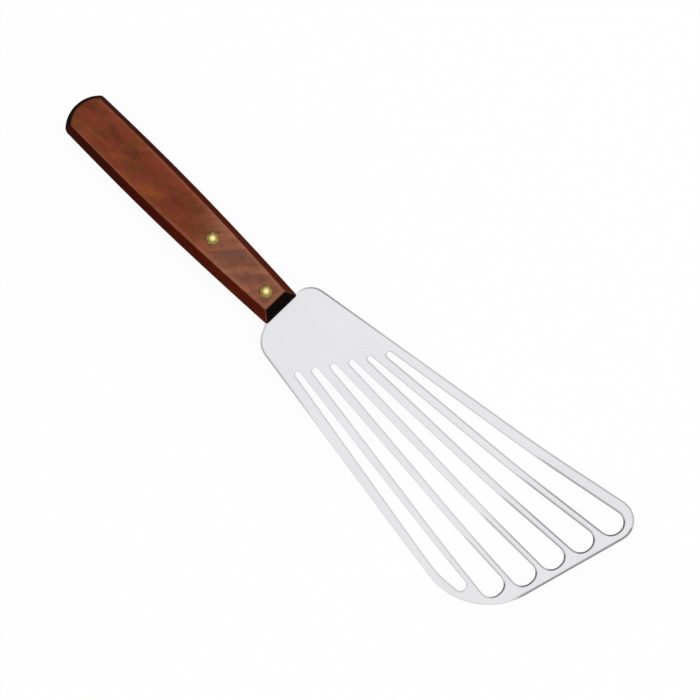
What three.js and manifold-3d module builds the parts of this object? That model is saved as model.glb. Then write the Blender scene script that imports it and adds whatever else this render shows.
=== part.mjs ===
// Slotted kitchen turner: a springy sheet-steel blade held in a sawn hardwood handle by two brass rivets.
// Lengths are millimetres and angles are degrees. The origin is the middle of the handle's underside flat,
// +X runs from the butt to the blade's tip, +Y to the blade's longer side, and +Z is up.
import * as THREE from "three";
import { mergeVertices } from "three/addons/utils/BufferGeometryUtils.js";
import Module from "manifold-3d";

// Handle: a bar with sloped flanks, widest behind its middle and rounded at the butt
const HANDLE_LENGTH = 123;
const HANDLE_THICKNESS = 13;
const HANDLE_BAND = 3;
const HANDLE_WIDEST = 22.3;
const HANDLE_WIDEST_FROM_BUTT = 42.5;
const HANDLE_BUTT_WIDTH = 21.45;
const HANDLE_FRONT_WIDTH = 17.25;
const HANDLE_FRONT_TAPER = 48.5;
const BUTT_ROUND = 4.8;
const BUTT_SLOPE = 2.8;
const FRONT_SLOPE = 3.75;
const FLANK_SLOPE_AT_BUTT = 2.4;
const FLANK_SLOPE_AT_FRONT = 3.1;
const EDGE_EASE = 0.5;

// Blade sheet seen from the side: level tang, slight drop from the neck, upturned tip
const SHEET_THICKNESS = 1;
const NECK_BEND_OUT = 1.5;
const NECK_BEND_RADIUS = 60;
const SET_ANGLE = 3.7;
const TIP_BEND_OUT = 100.5;
const TIP_BEND_RADIUS = 120;
const TIP_ANGLE = 9.9;

// Blade seen from above: half breadths are taken at the handle's front end
const BLADE_REACH = 156.8;
const TIP_SLANT_ANGLE = 15.4;
const LEFT_HALF_BREADTH = 16.6;
const LEFT_FLARE_ANGLE = 9.68;
const RIGHT_HALF_BREADTH = 17.1;
const RIGHT_FLARE_ANGLE = 8.06;
const LEFT_TIP_RADIUS = 9.3;
const RIGHT_TIP_RADIUS = 30;
const SHOULDER_SETBACK = 0.9;
const RIGHT_SHOULDER_SLANT_ANGLE = 26;
const SHOULDER_RADIUS = 10;
const NECK_FILLET = 0.8;
const TANG_INSET = 0.25;
const TANG_BEHIND_RIVET = 9;
const TANG_END_RADIUS = 3;

// Fan of slots: bars are measured square to their own length, slots along the root and tip lines,
// and the radius of a slot's end is a share of its breadth
const SLOT_COUNT = 6;
const ROOT_OUT = 31.35;
const ROOT_SLANT_ANGLE = 32.3;
const LEFT_BAR_ROOT = 4.1;
const LEFT_BAR_TIP = 5.2;
const RIGHT_BAR_ROOT = 5.1;
const RIGHT_BAR_TIP = 2.75;
const INNER_BAR_ROOT = 4;
const FIRST_BAR_TIP = 3;
const LAST_BAR_TIP = 2.15;
const FIRST_SLOT_ROOT = 3.15;
const LAST_SLOT_ROOT = 2.6;
const FIRST_SLOT_TIP = 11.8;
const LAST_SLOT_TIP = 7.9;
const TIP_PITCH_DROP = 0.46;
const SLOT_END_RIM = 3.46;
const SLOT_END_ROUND_SHARE = 0.42;
const SLOT_END_SLANT_ANGLE = 5;
const SLOT_ROOT_RADIUS = 1.25;
const LAST_SLOT_END_RIM = 1.9;
const LAST_SLOT_END_RADIUS = 2.35;
const LAST_SLOT_TURN_LENGTH = 12;
const LAST_SLOT_TURN_ANGLE = 13.7;
const LAST_SLOT_TURN_RADIUS = 45;

// Rivets: a solid post pressed into a tubular socket, each with a low domed head
const FRONT_RIVET_FROM_FRONT = 9;
const RIVET_SPACING = 31.5;
const RIVET_HEAD_DIAMETER = 5.5;
const RIVET_HEAD_SINK = 1.2;
const RIVET_CROWN = 0.5;
const SOCKET_WALL = 0.45;
const SOCKET_SHORT_OF_POST_HEAD = 2;
const POST_DIAMETER = 2.9;
const POST_SHORT_OF_SOCKET_HEAD = 2;
const SOCKET_FLOOR = 1;

// Clearances between pieces that fit together
const KERF_CLEARANCE = 0.15;
const KERF_END_CLEARANCE = 0.3;
const HOLE_CLEARANCE = 0.15;
const HEAD_CLEARANCE = 0.12;
const POST_CLEARANCE = 0.1;

// Fineness of curved surfaces
const ARC_STEP_ANGLE = 8;
const BEND_STEP_ANGLE = 1.5;
const BUTT_STEPS = 8;
const REAR_SIDE_STEPS = 7;
const FRONT_SIDE_STEPS = 13;
const ROUND_SIDES = 24;
const CROWN_STEPS = 5;
const CUT_OVERRUN = 2;
const EDGE_SHARE_FOR_ROUNDS = 0.98;
const SLOT_END_HALVINGS = 30;
const MERGE_DISTANCE = 1e-5;

// Places that follow from the sizes above
const BUTT_X = -HANDLE_LENGTH / 2;
const FRONT_X = HANDLE_LENGTH / 2;
const MID_Z = HANDLE_THICKNESS / 2;
const FRONT_RIVET_X = FRONT_X - FRONT_RIVET_FROM_FRONT;
const REAR_RIVET_X = FRONT_RIVET_X - RIVET_SPACING;
const TANG_END_X = REAR_RIVET_X - TANG_BEHIND_RIVET;
const SOCKET_BORE = POST_DIAMETER + 2 * POST_CLEARANCE;
const SOCKET_DIAMETER = SOCKET_BORE + 2 * SOCKET_WALL;

const wasm = await Module();
wasm.setup();

const QUARTER_TURN = 90;
const radians = THREE.MathUtils.degToRad;
const mix = THREE.MathUtils.lerp;

const brushedSteel = new THREE.MeshStandardMaterial({ color: 0xd8d8da, roughness: 0.35, metalness: 1 });
const darkHardwood = new THREE.MeshStandardMaterial({ color: 0x6e3823, roughness: 0.45, metalness: 0 });
const polishedBrass = new THREE.MeshStandardMaterial({ color: 0xc2a24e, roughness: 0.25, metalness: 1 });

// Solid for joining and cutting, from a closed geometry
function toSolid(geometry) {
  const bare = geometry.clone();
  bare.deleteAttribute("normal");
  bare.deleteAttribute("uv");
  const merged = mergeVertices(bare, MERGE_DISTANCE);
  return new wasm.Manifold(new wasm.Mesh({
    numProp: 3,
    vertProperties: new Float32Array(merged.attributes.position.array),
    triVerts: new Uint32Array(merged.index.array),
  }));
}

function fromSolid(solid) {
  const mesh = solid.getMesh();
  const geometry = new THREE.BufferGeometry();
  geometry.setAttribute("position", new THREE.BufferAttribute(mesh.vertProperties, 3));
  geometry.setIndex(new THREE.BufferAttribute(mesh.triVerts, 1));
  geometry.computeVertexNormals();
  return geometry;
}

function namedMesh(name, geometry, material) {
  const mesh = new THREE.Mesh(geometry, material);
  mesh.name = name;
  return mesh;
}

// Straight line in the plan through a point at an angle from +X
function planLine(x, y, degrees) {
  return { x, y, dx: Math.cos(radians(degrees)), dy: Math.sin(radians(degrees)) };
}

function lineThrough(from, to) {
  const length = Math.hypot(to.x - from.x, to.y - from.y);
  return { x: from.x, y: from.y, dx: (to.x - from.x) / length, dy: (to.y - from.y) / length };
}

function crossing(a, b) {
  const turn = a.dx * b.dy - a.dy * b.dx;
  const along = ((b.x - a.x) * b.dy - (b.y - a.y) * b.dx) / turn;
  return new THREE.Vector2(a.x + a.dx * along, a.y + a.dy * along);
}

function yOnLine(line, x) {
  return line.y + (x - line.x) * line.dy / line.dx;
}

function stepAside(point, line, distance) {
  return new THREE.Vector2(point.x - line.dy * distance, point.y + line.dx * distance);
}

// Closed outline from corners, each rounded by its own radius as far as its two edges allow
function roundedOutline(corners) {
  const count = corners.length;
  const rounds = corners.map(({ point, radius }, index) => {
    const toBefore = corners[(index + count - 1) % count].point.clone().sub(point);
    const toAfter = corners[(index + 1) % count].point.clone().sub(point);
    const edge = toAfter.length();
    toBefore.normalize();
    toAfter.normalize();
    const half = Math.acos(THREE.MathUtils.clamp(toBefore.dot(toAfter), -1, 1)) / 2;
    return { point, toBefore, toAfter, edge, half, reach: radius / Math.tan(half) };
  });
  const fits = rounds.map(({ edge, reach }, index) => {
    const both = reach + rounds[(index + 1) % count].reach;
    return Math.min(1, EDGE_SHARE_FOR_ROUNDS * edge / both);
  });
  const points = [];
  rounds.forEach(({ point, toBefore, toAfter, half, reach: wanted }, index) => {
    const reach = wanted * Math.min(fits[index], fits[(index + count - 1) % count]);
    if (reach === 0) {
      points.push(point.clone());
      return;
    }
    const radius = reach * Math.tan(half);
    const inward = toBefore.clone().add(toAfter).normalize();
    const centre = point.clone().addScaledVector(inward, radius / Math.sin(half));
    const first = point.clone().addScaledVector(toBefore, reach).sub(centre);
    const last = point.clone().addScaledVector(toAfter, reach).sub(centre);
    const sweep = Math.atan2(first.cross(last), first.dot(last));
    const steps = Math.max(2, Math.ceil(Math.abs(THREE.MathUtils.radToDeg(sweep)) / ARC_STEP_ANGLE));
    for (let step = 0; step <= steps; step += 1) {
      const arm = first.clone().rotateAround(new THREE.Vector2(), sweep * step / steps);
      points.push(centre.clone().add(arm));
    }
  });
  return points;
}

// Handle outline: one long side is a swell behind the widest place and a taper in front of it
const widestX = BUTT_X + HANDLE_WIDEST_FROM_BUTT;
const buttCornerX = BUTT_X + BUTT_ROUND;
const rearSide = new THREE.QuadraticBezierCurve(
  new THREE.Vector2(buttCornerX, HANDLE_BUTT_WIDTH / 2),
  new THREE.Vector2((buttCornerX + widestX) / 2, HANDLE_WIDEST / 2),
  new THREE.Vector2(widestX, HANDLE_WIDEST / 2),
);
const frontSide = new THREE.QuadraticBezierCurve(
  new THREE.Vector2(widestX, HANDLE_WIDEST / 2),
  new THREE.Vector2(FRONT_X - HANDLE_FRONT_TAPER, HANDLE_WIDEST / 2),
  new THREE.Vector2(FRONT_X, HANDLE_FRONT_WIDTH / 2),
);

// Radius of the arc that spans a chord with a given rise
function arcRadius(halfChord, rise) {
  return (halfChord * halfChord + rise * rise) / (2 * rise);
}

// Points from the middle of the butt along the left edge to the front, pulled in by a share of the slopes
function handleHalfRing(share) {
  const buttRadius = arcRadius(HANDLE_BUTT_WIDTH / 2, BUTT_ROUND);
  const centreX = BUTT_X + buttRadius;
  const pulledRadius = buttRadius - share * BUTT_SLOPE;
  const pulledCornerY = HANDLE_BUTT_WIDTH / 2 - share * FLANK_SLOPE_AT_BUTT;
  const cornerAngle = Math.asin(pulledCornerY / pulledRadius);
  const pulledCornerX = centreX - pulledRadius * Math.cos(cornerAngle);
  const pulledFrontX = FRONT_X - share * FRONT_SLOPE;
  const ring = [];
  for (let step = 0; step < BUTT_STEPS; step += 1) {
    const angle = cornerAngle * step / BUTT_STEPS;
    ring.push(new THREE.Vector2(centreX - pulledRadius * Math.cos(angle), pulledRadius * Math.sin(angle)));
  }
  const side = rearSide.getPoints(REAR_SIDE_STEPS).slice(0, -1).concat(frontSide.getPoints(FRONT_SIDE_STEPS));
  for (const point of side) {
    const along = (point.x - buttCornerX) / (FRONT_X - buttCornerX);
    const slope = mix(FLANK_SLOPE_AT_BUTT, FLANK_SLOPE_AT_FRONT, along);
    ring.push(new THREE.Vector2(mix(pulledCornerX, pulledFrontX, along), point.y - share * slope));
  }
  return ring;
}

// Upper half of the handle's section, bottom to top, as heights with shares of the slopes: eased edges
function handleSection() {
  const flankRise = (HANDLE_THICKNESS - HANDLE_BAND) / 2;
  const flankRun = (FLANK_SLOPE_AT_BUTT + FLANK_SLOPE_AT_FRONT) / 2;
  const easeAlongFlank = EDGE_EASE / Math.hypot(flankRise, flankRun);
  const easeOnFlat = EDGE_EASE / flankRun;
  const bandTop = MID_Z + HANDLE_BAND / 2;
  const easeTip = 0.25;
  return [
    { z: bandTop - EDGE_EASE, share: 0 },
    { z: bandTop + easeTip * easeAlongFlank * flankRise, share: easeTip * easeAlongFlank },
    { z: bandTop + easeAlongFlank * flankRise, share: easeAlongFlank },
    { z: HANDLE_THICKNESS - easeAlongFlank * flankRise, share: 1 - easeAlongFlank },
    { z: HANDLE_THICKNESS - easeTip * easeAlongFlank * flankRise, share: 1 + easeTip * easeOnFlat },
    { z: HANDLE_THICKNESS, share: 1 + easeOnFlat },
  ];
}

// Handle body: rings lofted from the underside to the top, closed by strips across the two flats
function handleBlank() {
  const upper = handleSection();
  const lower = upper.map(({ z, share }) => ({ z: HANDLE_THICKNESS - z, share })).reverse();
  const levels = lower.concat(upper);
  const vertices = [];
  const rings = levels.map(({ z, share }) => {
    const left = handleHalfRing(share);
    const right = left.slice(1).reverse().map((point) => new THREE.Vector2(point.x, -point.y));
    return right.concat(left).map((point) => {
      vertices.push(point.x, point.y, z);
      return vertices.length / 3 - 1;
    });
  });
  const triangles = [];
  const around = rings[0].length;
  for (let level = 0; level + 1 < rings.length; level += 1) {
    for (let place = 0; place < around; place += 1) {
      const next = (place + 1) % around;
      const [a, b] = [rings[level][place], rings[level][next]];
      const [c, d] = [rings[level + 1][next], rings[level + 1][place]];
      triangles.push(a, d, c, a, c, b);
    }
  }
  const underside = rings[0];
  const top = rings[rings.length - 1];
  for (let place = 0; place < (around - 1) / 2; place += 1) {
    const [right, rightNext] = [place, place + 1];
    const [left, leftNext] = [around - 1 - place, around - 2 - place];
    for (const [cap, flip] of [[underside, false], [top, true]]) {
      const [a, b, c, d] = [cap[right], cap[rightNext], cap[leftNext], cap[left]];
      const faces = rightNext === leftNext ? [[a, b, d]] : [[a, b, c], [a, c, d]];
      for (const [p, q, r] of faces) {
        triangles.push(...(flip ? [p, r, q] : [p, q, r]));
      }
    }
  }
  const geometry = new THREE.BufferGeometry();
  geometry.setAttribute("position", new THREE.Float32BufferAttribute(vertices, 3));
  geometry.setIndex(triangles);
  return geometry;
}

function roundBar(diameter, x, fromZ, toZ) {
  const bar = new THREE.CylinderGeometry(diameter / 2, diameter / 2, toZ - fromZ, ROUND_SIDES);
  return bar.rotateX(Math.PI / 2).translate(x, 0, (fromZ + toZ) / 2);
}

// Handle: a saw kerf from the front takes the tang, and each rivet has a bore with two counterbores
function makeHandle() {
  const kerfStart = TANG_END_X - KERF_END_CLEARANCE;
  const kerfLength = FRONT_X + CUT_OVERRUN - kerfStart;
  const kerfHeight = SHEET_THICKNESS + 2 * KERF_CLEARANCE;
  const kerf = new THREE.BoxGeometry(kerfLength, HANDLE_WIDEST + 2 * CUT_OVERRUN, kerfHeight);
  kerf.translate(kerfStart + kerfLength / 2, 0, MID_Z);
  let body = toSolid(handleBlank()).subtract(toSolid(kerf));
  const boreDiameter = SOCKET_DIAMETER + 2 * HOLE_CLEARANCE;
  const headDiameter = RIVET_HEAD_DIAMETER + 2 * HEAD_CLEARANCE;
  const headDepth = RIVET_HEAD_SINK + HEAD_CLEARANCE;
  for (const x of [FRONT_RIVET_X, REAR_RIVET_X]) {
    const bore = roundBar(boreDiameter, x, -CUT_OVERRUN, HANDLE_THICKNESS + CUT_OVERRUN);
    const lowerSeat = roundBar(headDiameter, x, -CUT_OVERRUN, headDepth);
    const upperSeat = roundBar(headDiameter, x, HANDLE_THICKNESS - headDepth, HANDLE_THICKNESS + CUT_OVERRUN);
    for (const cut of [bore, lowerSeat, upperSeat]) {
      body = body.subtract(toSolid(cut));
    }
  }
  return namedMesh("handle", fromSolid(body), darkHardwood);
}

// Places where the blade's straight edges, root line and tip line run in the plan
const leftSide = planLine(FRONT_X, LEFT_HALF_BREADTH, LEFT_FLARE_ANGLE);
const rightSide = planLine(FRONT_X, -RIGHT_HALF_BREADTH, -RIGHT_FLARE_ANGLE);
const tipEdge = planLine(FRONT_X + BLADE_REACH, 0, QUARTER_TURN - TIP_SLANT_ANGLE);
const rootLine = planLine(FRONT_X + ROOT_OUT, 0, QUARTER_TURN - ROOT_SLANT_ANGLE);
const leftTipCorner = crossing(leftSide, tipEdge);
const rightTipCorner = crossing(rightSide, tipEdge);

// Outline of the whole sheet: tang with the handle's own taper, two shoulders, flared sides, slanted tip
function bladeOutline() {
  const shoulderX = FRONT_X - SHOULDER_SETBACK;
  const pastTangEnd = (point) => point.x > TANG_END_X + TANG_END_RADIUS && point.x < shoulderX - NECK_FILLET;
  const tangSide = frontSide.getPoints(FRONT_SIDE_STEPS).filter(pastTangEnd);
  const tangHalf = (x) => halfWidthOfTaper(x) - TANG_INSET;
  const leftNeck = new THREE.Vector2(shoulderX, tangHalf(shoulderX));
  const rightNeck = new THREE.Vector2(shoulderX, -tangHalf(shoulderX));
  const leftBack = planLine(leftNeck.x, leftNeck.y, QUARTER_TURN);
  const rightBack = planLine(rightNeck.x, rightNeck.y, RIGHT_SHOULDER_SLANT_ANGLE - QUARTER_TURN);
  const plain = (point) => ({ point, radius: 0 });
  const rightTang = tangSide.map((point) => plain(new THREE.Vector2(point.x, TANG_INSET - point.y)));
  const leftTang = tangSide.map((point) => plain(new THREE.Vector2(point.x, point.y - TANG_INSET))).reverse();
  const tangEnd = tangHalf(TANG_END_X);
  return roundedOutline([
    { point: new THREE.Vector2(TANG_END_X, -tangEnd), radius: TANG_END_RADIUS },
    ...rightTang,
    { point: rightNeck, radius: NECK_FILLET },
    { point: crossing(rightBack, rightSide), radius: SHOULDER_RADIUS },
    { point: rightTipCorner, radius: RIGHT_TIP_RADIUS },
    { point: leftTipCorner, radius: LEFT_TIP_RADIUS },
    { point: crossing(leftBack, leftSide), radius: SHOULDER_RADIUS },
    { point: leftNeck, radius: NECK_FILLET },
    ...leftTang,
    { point: new THREE.Vector2(TANG_END_X, tangEnd), radius: TANG_END_RADIUS },
  ]);
}

// Half width of the handle where it tapers, from the curve of its side
function halfWidthOfTaper(x) {
  const { v0, v1, v2 } = frontSide;
  const square = v0.x - 2 * v1.x + v2.x;
  const slope = 2 * (v1.x - v0.x);
  const rest = v0.x - x;
  const root = Math.sqrt(Math.max(slope * slope - 4 * square * rest, 0));
  return frontSide.getPoint(THREE.MathUtils.clamp(-2 * rest / (slope + root), 0, 1)).y;
}

// Edges of the fan from the left side to the right: pairs of lines that bound each slot
function slotEdges() {
  const rootLeft = crossing(leftSide, rootLine);
  const rootRight = crossing(rightSide, rootLine);
  const rootWay = lineThrough(rootLeft, rootRight);
  const tipWay = lineThrough(leftTipCorner, rightTipCorner);
  const rootBreadth = rootLeft.distanceTo(rootRight);
  const tipBreadth = leftTipCorner.distanceTo(rightTipCorner);
  const spread = (side, way) => Math.abs(side.dx * way.dy - side.dy * way.dx);
  const onRoot = (distance) => new THREE.Vector2(rootWay.x, rootWay.y)
    .addScaledVector(new THREE.Vector2(rootWay.dx, rootWay.dy), distance);
  const onTip = (distance) => new THREE.Vector2(tipWay.x, tipWay.y)
    .addScaledVector(new THREE.Vector2(tipWay.dx, tipWay.dy), distance);
  const leftRoot = LEFT_BAR_ROOT / spread(leftSide, rootWay);
  const leftTip = LEFT_BAR_TIP / spread(leftSide, tipWay);
  const rightRoot = rootBreadth - RIGHT_BAR_ROOT / spread(rightSide, rootWay);
  const rightTip = tipBreadth - RIGHT_BAR_TIP / spread(rightSide, tipWay);
  const firstRoot = leftRoot + FIRST_SLOT_ROOT + INNER_BAR_ROOT / 2 / spread(leftSide, rootWay);
  const lastRoot = rightRoot - LAST_SLOT_ROOT - INNER_BAR_ROOT / 2 / spread(rightSide, rootWay);
  const firstTip = leftTip + FIRST_SLOT_TIP + FIRST_BAR_TIP / 2 / spread(leftSide, tipWay);
  const lastTip = rightTip - LAST_SLOT_TIP - LAST_BAR_TIP / 2 / spread(rightSide, tipWay);
  const bars = SLOT_COUNT - 1;
  const upperEdges = [lineThrough(onRoot(leftRoot), onTip(leftTip))];
  const lowerEdges = [];
  for (let bar = 0; bar < bars; bar += 1) {
    const share = bar / (bars - 1);
    const bulge = TIP_PITCH_DROP * bar * (bars - 1 - bar) / 2;
    const root = onRoot(mix(firstRoot, lastRoot, share));
    const tip = onTip(mix(firstTip, lastTip, share) + bulge);
    const middle = lineThrough(root, tip);
    const rootHalf = INNER_BAR_ROOT / 2;
    const tipHalf = mix(FIRST_BAR_TIP, LAST_BAR_TIP, share) / 2;
    lowerEdges.push(lineThrough(stepAside(root, middle, rootHalf), stepAside(tip, middle, tipHalf)));
    upperEdges.push(lineThrough(stepAside(root, middle, -rootHalf), stepAside(tip, middle, -tipHalf)));
  }
  lowerEdges.push(lineThrough(onRoot(rightRoot), onTip(rightTip)));
  return upperEdges.map((upper, index) => ({ upper, lower: lowerEdges[index] }));
}

// Distance from a point to the nearest place on a run of edge points
function clearanceTo(edgePoints, point) {
  const spot = new THREE.Vector3(point.x, point.y, 0);
  const nearest = new THREE.Vector3();
  const distances = edgePoints.slice(1).map((to, index) => {
    const from = edgePoints[index];
    const edge = new THREE.Line3(new THREE.Vector3(from.x, from.y, 0), new THREE.Vector3(to.x, to.y, 0));
    return edge.closestPointToPoint(spot, true, nearest).distanceTo(spot);
  });
  return Math.min(...distances);
}

// X where a slot ends, so that the middle of its round end keeps the rim to the edge round the tip
function slotEndX(middle, radius, rim, tipPoints) {
  let near = middle.x;
  let far = crossing(middle, tipEdge).x;
  for (let halving = 0; halving < SLOT_END_HALVINGS; halving += 1) {
    const x = (near + far) / 2;
    const centre = new THREE.Vector2(x - radius, yOnLine(middle, x - radius));
    if (clearanceTo(tipPoints, centre) > radius + rim) {
      near = x;
    } else {
      far = x;
    }
  }
  return near;
}

// One slot: a wedge with a small round root and a blunt round end; the last one turns with the corner
function slotOutline({ upper, lower }, isLast, tipPoints) {
  const rootUpper = crossing(upper, rootLine);
  const rootLower = crossing(lower, rootLine);
  const tipUpper = crossing(upper, tipEdge);
  const tipLower = crossing(lower, tipEdge);
  const middle = lineThrough(
    rootUpper.clone().add(rootLower).multiplyScalar(0.5),
    tipUpper.clone().add(tipLower).multiplyScalar(0.5),
  );
  const rootEnd = { x: middle.x, y: middle.y, dx: -middle.dy, dy: middle.dx };
  const wideRadius = SLOT_END_ROUND_SHARE * tipUpper.distanceTo(tipLower);
  const endRadius = isLast ? LAST_SLOT_END_RADIUS : wideRadius;
  const endRim = isLast ? LAST_SLOT_END_RIM : SLOT_END_RIM;
  const endX = slotEndX(middle, endRadius, endRim, tipPoints);
  const endEdge = planLine(endX, yOnLine(middle, endX), QUARTER_TURN - SLOT_END_SLANT_ANGLE);
  const endUpper = crossing(upper, endEdge);
  const rootCorners = [
    { point: crossing(upper, rootEnd), radius: SLOT_ROOT_RADIUS },
    { point: crossing(lower, rootEnd), radius: SLOT_ROOT_RADIUS },
  ];
  if (!isLast) {
    return roundedOutline([
      ...rootCorners,
      { point: crossing(lower, endEdge), radius: endRadius },
      { point: endUpper, radius: endRadius },
    ]);
  }
  const turnX = endX - LAST_SLOT_TURN_LENGTH;
  const turn = new THREE.Vector2(turnX, yOnLine(lower, turnX));
  const turnAngle = THREE.MathUtils.radToDeg(Math.atan2(lower.dy, lower.dx)) + LAST_SLOT_TURN_ANGLE;
  const turnedEdge = planLine(turn.x, turn.y, turnAngle);
  return roundedOutline([
    ...rootCorners,
    { point: turn, radius: LAST_SLOT_TURN_RADIUS },
    { point: crossing(turnedEdge, endEdge), radius: endRadius },
    { point: endUpper, radius: endRadius },
  ]);
}

// Middle of the sheet seen from the side, as points with headings: two bends joined by straights
function sheetLine(fromX, toX) {
  const line = [{ x: fromX, z: MID_Z, heading: 0 }];
  const bend = (startX, radius, turn) => {
    const last = line[line.length - 1];
    const startZ = last.z + (startX - last.x) * Math.tan(last.heading);
    const start = { x: startX, z: startZ, heading: last.heading };
    const centreSide = Math.sign(turn);
    const steps = Math.max(2, Math.ceil(Math.abs(turn) / BEND_STEP_ANGLE));
    for (let step = 0; step <= steps; step += 1) {
      const heading = start.heading + radians(turn) * step / steps;
      const x = start.x + centreSide * radius * (Math.sin(heading) - Math.sin(start.heading));
      const z = start.z - centreSide * radius * (Math.cos(heading) - Math.cos(start.heading));
      line.push({ x, z, heading });
    }
  };
  bend(FRONT_X + NECK_BEND_OUT, NECK_BEND_RADIUS, -SET_ANGLE);
  bend(FRONT_X + TIP_BEND_OUT, TIP_BEND_RADIUS, SET_ANGLE + TIP_ANGLE);
  const last = line[line.length - 1];
  line.push({ x: toX, z: last.z + (toX - last.x) * Math.tan(last.heading), heading: last.heading });
  return line;
}

// Bent sheet, wider and longer than the blade
function sheetBlank(breadth) {
  const line = sheetLine(TANG_END_X - CUT_OVERRUN, leftTipCorner.x + CUT_OVERRUN);
  const half = SHEET_THICKNESS / 2;
  const face = (side) => line.map(({ x, z, heading }) => new THREE.Vector2(
    x - side * half * Math.sin(heading),
    z + side * half * Math.cos(heading),
  ));
  const profile = new THREE.Shape(face(-1).concat(face(1).reverse()));
  const sheet = new THREE.ExtrudeGeometry(profile, { depth: breadth, bevelEnabled: false });
  return sheet.rotateX(Math.PI / 2).translate(0, breadth / 2, 0);
}

// Blade: the bent sheet cut to its outline, with the slots and the two rivet holes
function makeBlade() {
  const outline = bladeOutline();
  const plan = new THREE.Shape(outline);
  const tipPoints = outline.filter((point) => point.x > FRONT_X + BLADE_REACH / 2);
  slotEdges().forEach((edges, index) => {
    const isLast = index === SLOT_COUNT - 1;
    plan.holes.push(new THREE.Path(slotOutline(edges, isLast, tipPoints)));
  });
  const holeRadius = SOCKET_DIAMETER / 2 + HOLE_CLEARANCE;
  for (const x of [FRONT_RIVET_X, REAR_RIVET_X]) {
    const hole = new THREE.Path().absarc(x, 0, holeRadius, 0, 2 * Math.PI, true);
    plan.holes.push(new THREE.Path(hole.getPoints(ROUND_SIDES / 2).slice(0, -1)));
  }
  const height = 2 * leftTipCorner.x;
  const cutter = new THREE.ExtrudeGeometry(plan, { depth: height, bevelEnabled: false });
  cutter.translate(0, 0, MID_Z - height / 2);
  const breadth = 2 * (leftTipCorner.y - rightTipCorner.y) + 2 * CUT_OVERRUN;
  const body = toSolid(sheetBlank(breadth)).intersect(toSolid(cutter));
  return namedMesh("blade", fromSolid(body), brushedSteel);
}

// Dome of a rivet head from its rim to its crown, as radius and height points
function domePoints(rimZ) {
  const rim = RIVET_HEAD_DIAMETER / 2;
  const domeRadius = arcRadius(rim, RIVET_CROWN);
  const spread = Math.asin(rim / domeRadius);
  const points = [];
  for (let step = 0; step <= CROWN_STEPS; step += 1) {
    const angle = spread * (1 - step / CROWN_STEPS);
    const height = rimZ + RIVET_CROWN - domeRadius * (1 - Math.cos(angle));
    points.push(new THREE.Vector2(domeRadius * Math.sin(angle), height));
  }
  return points;
}

function turned(profile) {
  return new THREE.LatheGeometry(profile, ROUND_SIDES).rotateX(Math.PI / 2);
}

// Solid half of a rivet, set head up in the top of the handle
function makePost(name, x) {
  const headUnder = HANDLE_THICKNESS - RIVET_HEAD_SINK;
  const end = RIVET_HEAD_SINK + POST_SHORT_OF_SOCKET_HEAD;
  const profile = [
    new THREE.Vector2(0, end),
    new THREE.Vector2(POST_DIAMETER / 2, end),
    new THREE.Vector2(POST_DIAMETER / 2, headUnder),
    new THREE.Vector2(RIVET_HEAD_DIAMETER / 2, headUnder),
    ...domePoints(HANDLE_THICKNESS),
  ];
  const post = namedMesh(name, turned(profile), polishedBrass);
  post.position.x = x;
  return post;
}

// Tubular half of a rivet, set head down in the underside of the handle
function makeSocket(name, x) {
  const rimTop = HANDLE_THICKNESS - RIVET_HEAD_SINK - SOCKET_SHORT_OF_POST_HEAD;
  const floor = RIVET_HEAD_SINK + SOCKET_FLOOR;
  const dome = domePoints(0).map((point) => new THREE.Vector2(point.x, -point.y)).reverse();
  const profile = [
    ...dome,
    new THREE.Vector2(RIVET_HEAD_DIAMETER / 2, RIVET_HEAD_SINK),
    new THREE.Vector2(SOCKET_DIAMETER / 2, RIVET_HEAD_SINK),
    new THREE.Vector2(SOCKET_DIAMETER / 2, rimTop),
    new THREE.Vector2(SOCKET_BORE / 2, rimTop),
    new THREE.Vector2(SOCKET_BORE / 2, floor),
    new THREE.Vector2(0, floor),
  ];
  const socket = namedMesh(name, turned(profile), polishedBrass);
  socket.position.x = x;
  return socket;
}

const turner = new THREE.Group();
turner.add(makeBlade());
turner.add(makeHandle());
turner.add(makePost("front_rivet_post", FRONT_RIVET_X));
turner.add(makeSocket("front_rivet_socket", FRONT_RIVET_X));
turner.add(makePost("rear_rivet_post", REAR_RIVET_X));
turner.add(makeSocket("rear_rivet_socket", REAR_RIVET_X));

export default turner;
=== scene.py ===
"""Looks of a slotted kitchen turner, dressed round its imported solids.

Sizes are written in millimetres and angles in degrees, and meshes are in metres. +X runs from the butt to the
blade's tip, +Y to the blade's longer side, its left, and +Z is up. A point of a flat outline is kept as the
complex number x + iy, and a straight line as a point and a unit step.
"""

import bpy
import numpy as np
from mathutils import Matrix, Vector
from mathutils.geometry import delaunay_2d_cdt


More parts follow.
